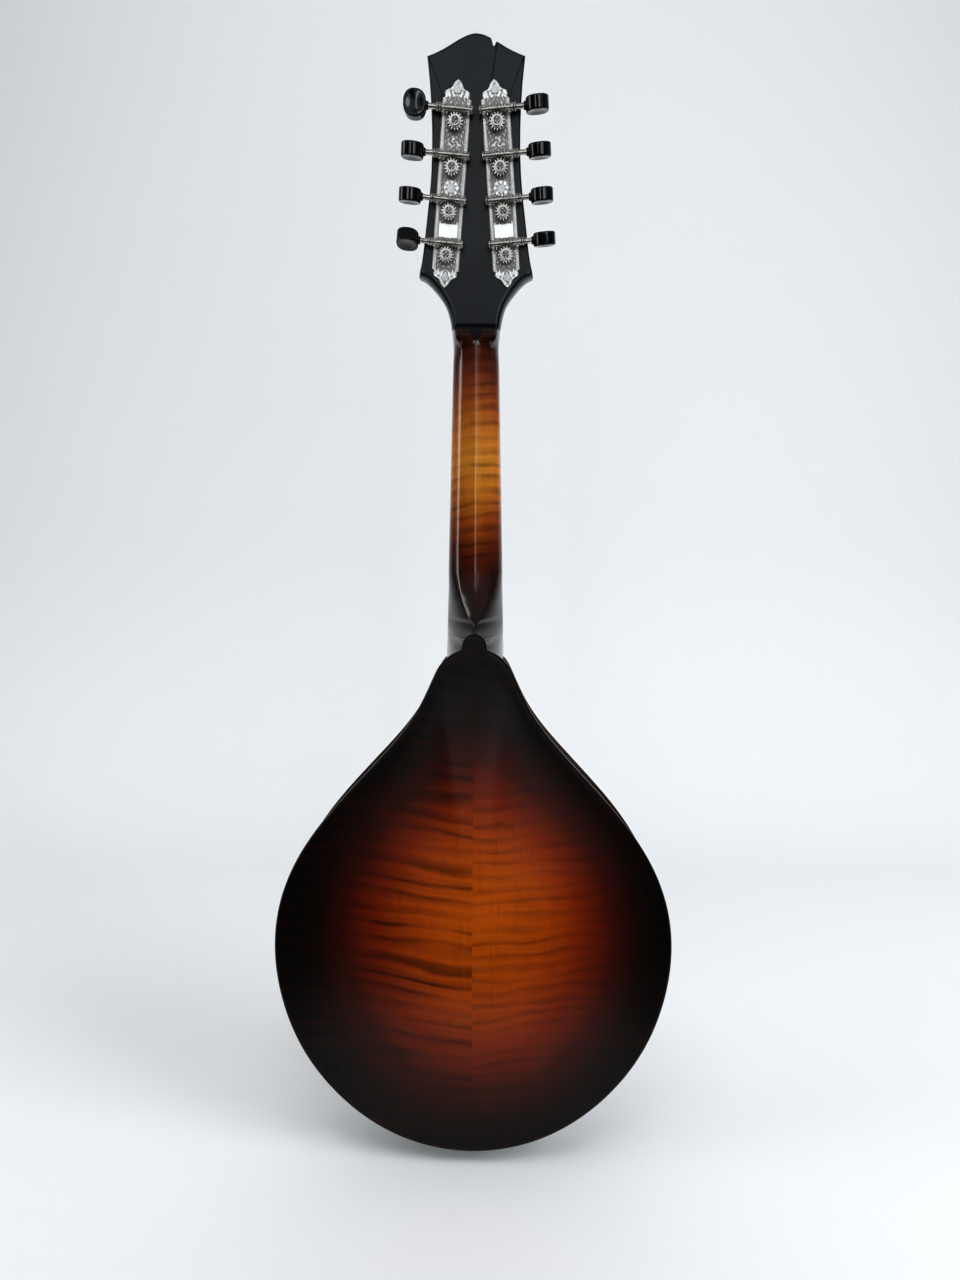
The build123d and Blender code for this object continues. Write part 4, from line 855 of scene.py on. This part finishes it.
# Bearing bracket: a rounded arch swept across the worm's journal, its outer edges drawn in
def bracket(name, sign, a, inner, outer):
    turn = np.linspace(0, math.pi, 33)
    width, height = machine["bracketWidth"] / 2, machine["bracketHeight"]
    along = a - width * np.sign(np.cos(turn)) * np.abs(np.cos(turn)) ** 0.55
    lift = machine["plateThickness"] - 0.1 + (height - machine["plateThickness"] + 0.1) * np.sin(turn) ** 0.5
    middle = np.array([a, 2.5])
    rows, places = [], []
    for place, share in ((inner, 0.0), (inner, 0.86), (inner + 0.25, 1.0), (outer - 0.25, 1.0), (outer, 0.86), (outer, 0.0)):
        rows.append(np.stack([middle[0] + (along - middle[0]) * share, middle[1] + (lift - middle[1]) * share], axis=-1))
        places.append(np.full(len(turn), place))
    rows, places = np.array(rows), np.array(places)
    marks = np.full(rows.shape[:2], 0.85)
    return gridPiece(name, platePlace(sign, places, rows[..., 0], rows[..., 1]), attributes={"relief": marks})


# A shape turned round the worm's axis from rows of (distance out, radius)
def turned(name, sign, a, profile, count=40):
    profile = np.array(profile, float)
    turn = np.linspace(0, 2 * math.pi, count + 1)[None, :-1]
    lift = machine["plateThickness"] + machine["wormLift"]
    radius = profile[:, 1][:, None]
    grid = platePlace(sign, profile[:, 0][:, None] + 0 * turn, a + radius * np.cos(turn), lift + radius * np.sin(turn))
    return gridPiece(name, grid)


# Knob: a rounded oval whose faces are dished. From the middle of one face the height rises to a lip,
# rounds over the edge by a quarter ellipse on each side, and comes back on the other face.
def knob(name, sign, number, turnDegrees):
    origin, out, up, back = plateAxes(sign)
    turn = math.radians(turnDegrees)
    normal = math.cos(turn) * sign * back + math.sin(turn) * up
    wide = np.cross(out, normal)
    lift = machine["plateThickness"] + machine["wormLift"]
    a = number * machine["postPitch"] + machine["wormOffset"]
    centre = origin + out * (machine["buttonStart"] + machine["buttonLength"] / 2) + up * a + back * lift
    round_ = np.linspace(0, 2 * math.pi, 81)[None, :-1]
    cosine, sine = np.cos(round_), np.sin(round_)
    power = 2 / 2.35
    ovalA = np.sign(cosine) * np.abs(cosine) ** power * machine["buttonLength"] / 2
    ovalB = np.sign(sine) * np.abs(sine) ** power * machine["buttonWidth"] / 2
    half, dish = machine["buttonThickness"] / 2, machine["dish"]
    faceShare, lipHeight = 0.89, 0.8
    inner = np.linspace(0, faceShare, 16)
    faceRows = [(share, half - dish * (math.cos(share / faceShare * math.pi / 2) ** 1.3)) for share in inner]
    lip = [(faceShare + (1 - faceShare) * math.sin(t), half - lipHeight * (1 - math.cos(t))) for t in np.linspace(0.2, math.pi / 2, 8)]
    wall = [(1.0, h) for h in (half - 1.2, 0.0, 1.2 - half)]
    rows = faceRows + lip + wall
    rows += [(share, -h) for share, h in reversed(faceRows + lip)]
    rows = np.array(rows)
    share, height = rows[:, 0][:, None], rows[:, 1][:, None]
    grid = centre + (share * ovalA)[..., None] * out + (share * ovalB)[..., None] * wide + (height + 0 * round_)[..., None] * normal
    oval = gridPiece(name + "_oval", grid)
    start = machine["buttonStart"]
    collar = turned(name + "_collar", sign, a, [
        (start - 1.2, 0), (start - 1.2, 1.8), (start - 0.9, 2.1), (start - 0.2, 2.25), (start + 0.8, 2.3), (start + 2.5, 2.3), (start + 2.5, 0)])
    return joinPieces(name, [oval, collar])


# Screw in a gear: a low dome with a cross cut into it
def crossScrew(name, sign, number):
    radius = 2.75
    low = machine["plateThickness"] + machine["wormLift"] + 1.2 + 0.75
    share = np.concatenate([np.linspace(0, 1, 26), [1.0, 0.0]])[:, None]
    turn = np.linspace(0, 2 * math.pi, 97)[None, :-1]
    c, a = radius * share * np.cos(turn), radius * share * np.sin(turn)
    dome = 1.35 - 0.65 * share ** 2.6
    slot = np.maximum(1 - easeStep(0.28, 0.42, np.abs(c)), 1 - easeStep(0.28, 0.42, np.abs(a)))
    slot = slot * (1 - easeStep(1.5, 1.75, np.hypot(c, a)))
    height = dome - 0.75 * slot
    height[-2:] = 0
    return gridPiece(name, platePlace(sign, c, number * machine["postPitch"] + a, low + height))


for name, sign in signs.items():
    pieces = [tunerPlate("face_" + name, sign)]
    for number in range(4):
        a = number * machine["postPitch"] + machine["wormOffset"]
        for outward in (-1, 1):
            inner, outer = sorted((outward * machine["bracketInner"], outward * machine["plateWidth"] / 2))
            pieces.append(bracket(f"bracket_{name}_{number}_{outward}", sign, a, inner, outer))
    placePiece(
        joinPieces("engravedPlate_" + name, pieces), "instrument", finishes["engraved"], (f"tuner_plate_{name}",))
    for number in range(4):
        label = f"{name}_{number + 1}"
        a = number * machine["postPitch"] + machine["wormOffset"]
        beads = [turned(f"bead_{label}_{place}", sign, a, [
            (place - 0.75, 0), (place - 0.75, 1.5), (place - 0.5, 2.2), (place, 2.5), (place + 0.5, 2.2), (place + 0.75, 1.5), (place + 0.75, 0)],
            32) for place in (-9.15, 9.15, 10.6)]
        placePiece(joinPieces("shaftBeads_" + label, beads), "key_" + label, finishes["agedNickel"])
        placePiece(
            knob("knob_" + label, sign, number, machine["turns"][name][number]), "key_" + label, finishes["button"],
            (f"tuner_button_{label}",))
        placePiece(crossScrew("gearScrew_" + label, sign, number), "post_" + label, finishes["darkScrew"])
print("tuning machines made")


# --- finishes of the remaining nodes ------------------------------------------------

nodeFinishes = {
    "top_plate": "spruce", "top_binding": "binding", "rib": "ribLacquer", "neck_block": "plain", "tail_block": "plain",
    "linings": "plain", "tone_bars": "plain", "headstock_overlay": "overlay", "nut": "bone", "truss_rod_nut": "brass",
    "truss_rod_cover": "coverPlastic", "truss_rod": "steel", "fingerboard": "ebony", "frets": "fret", "position_dots": "pearl",
    "tuner_post": "agedNickel", "worm_shaft": "agedNickel", "post_bushings": "nickel", "wound_strings": "stringBronze",
    "plain_strings": "stringSteel", "bridge_base": "ebony", "bridge_posts": "brass", "bridge_saddle": "ebony",
    "thumbwheel": "brass", "tailpiece_base": "nickel", "tailpiece_cover": "nickel", "end_pin": "ebonyPolished",
    "mounting_screws": "steel",
}
for nodeName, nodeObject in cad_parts.items():
    matches = [key for key in nodeFinishes if nodeName.startswith(key)]
    if not matches:
        continue
    finish = finishes[nodeFinishes[max(matches, key=len)]]
    if not nodeObject.data.materials:
        nodeObject.data.materials.append(finish)
    for i in range(len(nodeObject.material_slots)):
        nodeObject.material_slots[i].material = finish
print("nodes finished")


# --- studio ---------------------------------------------------------------------------

studio = {
    "floorDrop": 0.0006, "front": 0.17, "wallAway": 0.95, "cove": 0.45, "wallHeight": 2.6, "reach": 3.2, "paper": (0.80, 0.81, 0.82),
    "sky": (0.93, 0.96, 1.0), "skyBelow": 0.03, "skyAbove": 0.20,
    "unseen": ("overhead", "rightPanel", "floorWash"),    # these light the matt surfaces, and no gloss shows them
    "lights": [
        ("overhead", (0.10, 1.00, 1.90), (0.0, 0.0, 0.30), (1.3, 0.7), 7.4, (1.0, 0.99, 0.97)),
        ("rightPanel", (-1.30, 0.70, 0.95), (0.0, 0.0, 0.30), (0.7, 1.0), 13.0, (0.94, 0.97, 1.0)),
        ("leftPanel", (1.45, 0.30, 0.75), (0.0, 0.0, 0.30), (0.6, 1.2), 5.0, (1.0, 0.99, 0.97)),
        ("frontPanel", (-0.35, 2.20, 1.05), (-0.05, 0.0, 0.75), (2.6, 1.10), 4.2, (0.90, 0.96, 1.0)),
        ("lowRightPanel", (-0.62, 2.20, 0.28), (0.0, 0.0, 0.28), (0.9, 0.44), 1.9, (0.88, 0.96, 1.0)),
        ("lowLeftPanel", (0.55, 2.20, 0.28), (0.0, 0.0, 0.28), (0.5, 0.44), 0.8, (0.90, 0.96, 1.0)),
        ("rightWindow", (-0.40, 2.00, 0.75), (0.0, 0.0, 0.45), (0.09, 1.3), 1.7, (0.95, 0.98, 1.0)),
        ("leftWindow", (0.40, 2.00, 0.75), (0.0, 0.0, 0.45), (0.09, 1.3), 1.7, (0.95, 0.98, 1.0)),
        ("wallWash", (0.0, -0.10, 2.3), (0.0, -0.95, 0.60), (2.6, 0.6), 5.6, (1.0, 1.0, 1.0)),
        ("floorWash", (0.0, 0.55, 2.2), (0.0, -0.35, 0.0), (2.2, 0.8), 1.1, (1.0, 1.0, 1.0)),
    ],
    "cameraPlace": (-0.00765003, 0.47045551, 0.36018986), "cameraRight": (-0.99994384, -0.00925316, 0.0051671),
    "cameraUp": (0.00571262, -0.05993313, 0.99818605), "cameraForward": (0.0089267, -0.99815951, -0.05998262), "lens": 20.2596,
}


# Floor and wall are one sheet: level, a quarter circle, then upright
def paperSheet():
    low = cadBounds[0][2] - studio["floorDrop"]
    away, cove = studio["wallAway"], studio["cove"]
    turn = np.linspace(0, math.pi / 2, 24)
    y = np.concatenate([np.linspace(studio["front"], cove - away, 30), -away + cove * (1 - np.sin(turn[1:])), np.full(20, -away)])
    z = np.concatenate([np.full(30, low), low + cove * (1 - np.cos(turn[1:])), np.linspace(low + cove, studio["wallHeight"], 21)[1:]])
    x = np.linspace(-studio["reach"], studio["reach"], 30)
    grid = np.stack(np.broadcast_arrays(x[None, :], y[:, None], z[:, None]), axis=-1) / mm
    sheet = gridPiece("paperSheet", grid, ring=False)
    tree = Tree("paleGreyPaper")
    fibre = tree.noise(tree.stretched((900, 900, 900)), 1.0, 2.0)
    cloud = tree.noise(tree.stretched((1.2, 1.2, 1.2)), 1.0, 2.0)
    tone = tree.mix(cloud * 0.5 + fibre * 0.08, studio["paper"], tuple(c * 0.95 for c in studio["paper"]))
    sheet.data.materials.append(tree.finish(base_color=tone, roughness=0.85, normal=tree.bump(fibre, 0.0001, 0.15)))


def aim(thing, place, target):
    from mathutils import Vector
    direction = Vector(target) - Vector(place)
    thing.location = place
    thing.rotation_euler = direction.to_track_quat("-Z", "Y").to_euler()


def studioLights():
    world = bpy.data.worlds.new("softRoom")
    world.use_nodes = True
    graph = world.node_tree
    background = graph.nodes["Background"]
    background.inputs[0].default_value = (*studio["sky"], 1.0)
    direction = graph.nodes.new("ShaderNodeTexCoord")
    split = graph.nodes.new("ShaderNodeSeparateXYZ")
    fade = graph.nodes.new("ShaderNodeMapRange")
    fade.interpolation_type = "SMOOTHSTEP"
    for socket, value in enumerate((-0.15, 0.45, studio["skyBelow"], studio["skyAbove"]), 1):
        fade.inputs[socket].default_value = value
    graph.links.new(direction.outputs["Generated"], split.inputs[0])
    graph.links.new(split.outputs[2], fade.inputs[0])
    graph.links.new(fade.outputs[0], background.inputs[1])
    bpy.context.scene.world = world
    bpy.context.scene.view_settings.view_transform = "Standard"
    bpy.context.scene.view_settings.look = "High Contrast"
    for name, place, target, size, power, colour in studio["lights"]:
        data = bpy.data.lights.new(name, "AREA")
        data.shape = "RECTANGLE"
        data.size, data.size_y = size
        data.energy = power
        data.color = colour
        light = bpy.data.objects.new(name, data)
        bpy.context.scene.collection.objects.link(light)
        aim(light, place, target)
        light.visible_glossy = name not in studio["unseen"]


def studioCamera():
    from mathutils import Matrix, Vector
    data = bpy.data.cameras.new("camera")
    data.lens = studio["lens"]
    data.sensor_width = 36.0
    data.clip_start = 0.01
    camera = bpy.data.objects.new("camera", data)
    bpy.context.scene.collection.objects.link(camera)
    rightward, upward = Vector(studio["cameraRight"]), Vector(studio["cameraUp"])
    backward = -Vector(studio["cameraForward"])
    turn = Matrix((rightward, upward, backward)).transposed().to_4x4()
    camera.matrix_world = Matrix.Translation(studio["cameraPlace"]) @ turn
    bpy.context.scene.camera = camera


paperSheet()
studioLights()
studioCamera()
print("studio made")
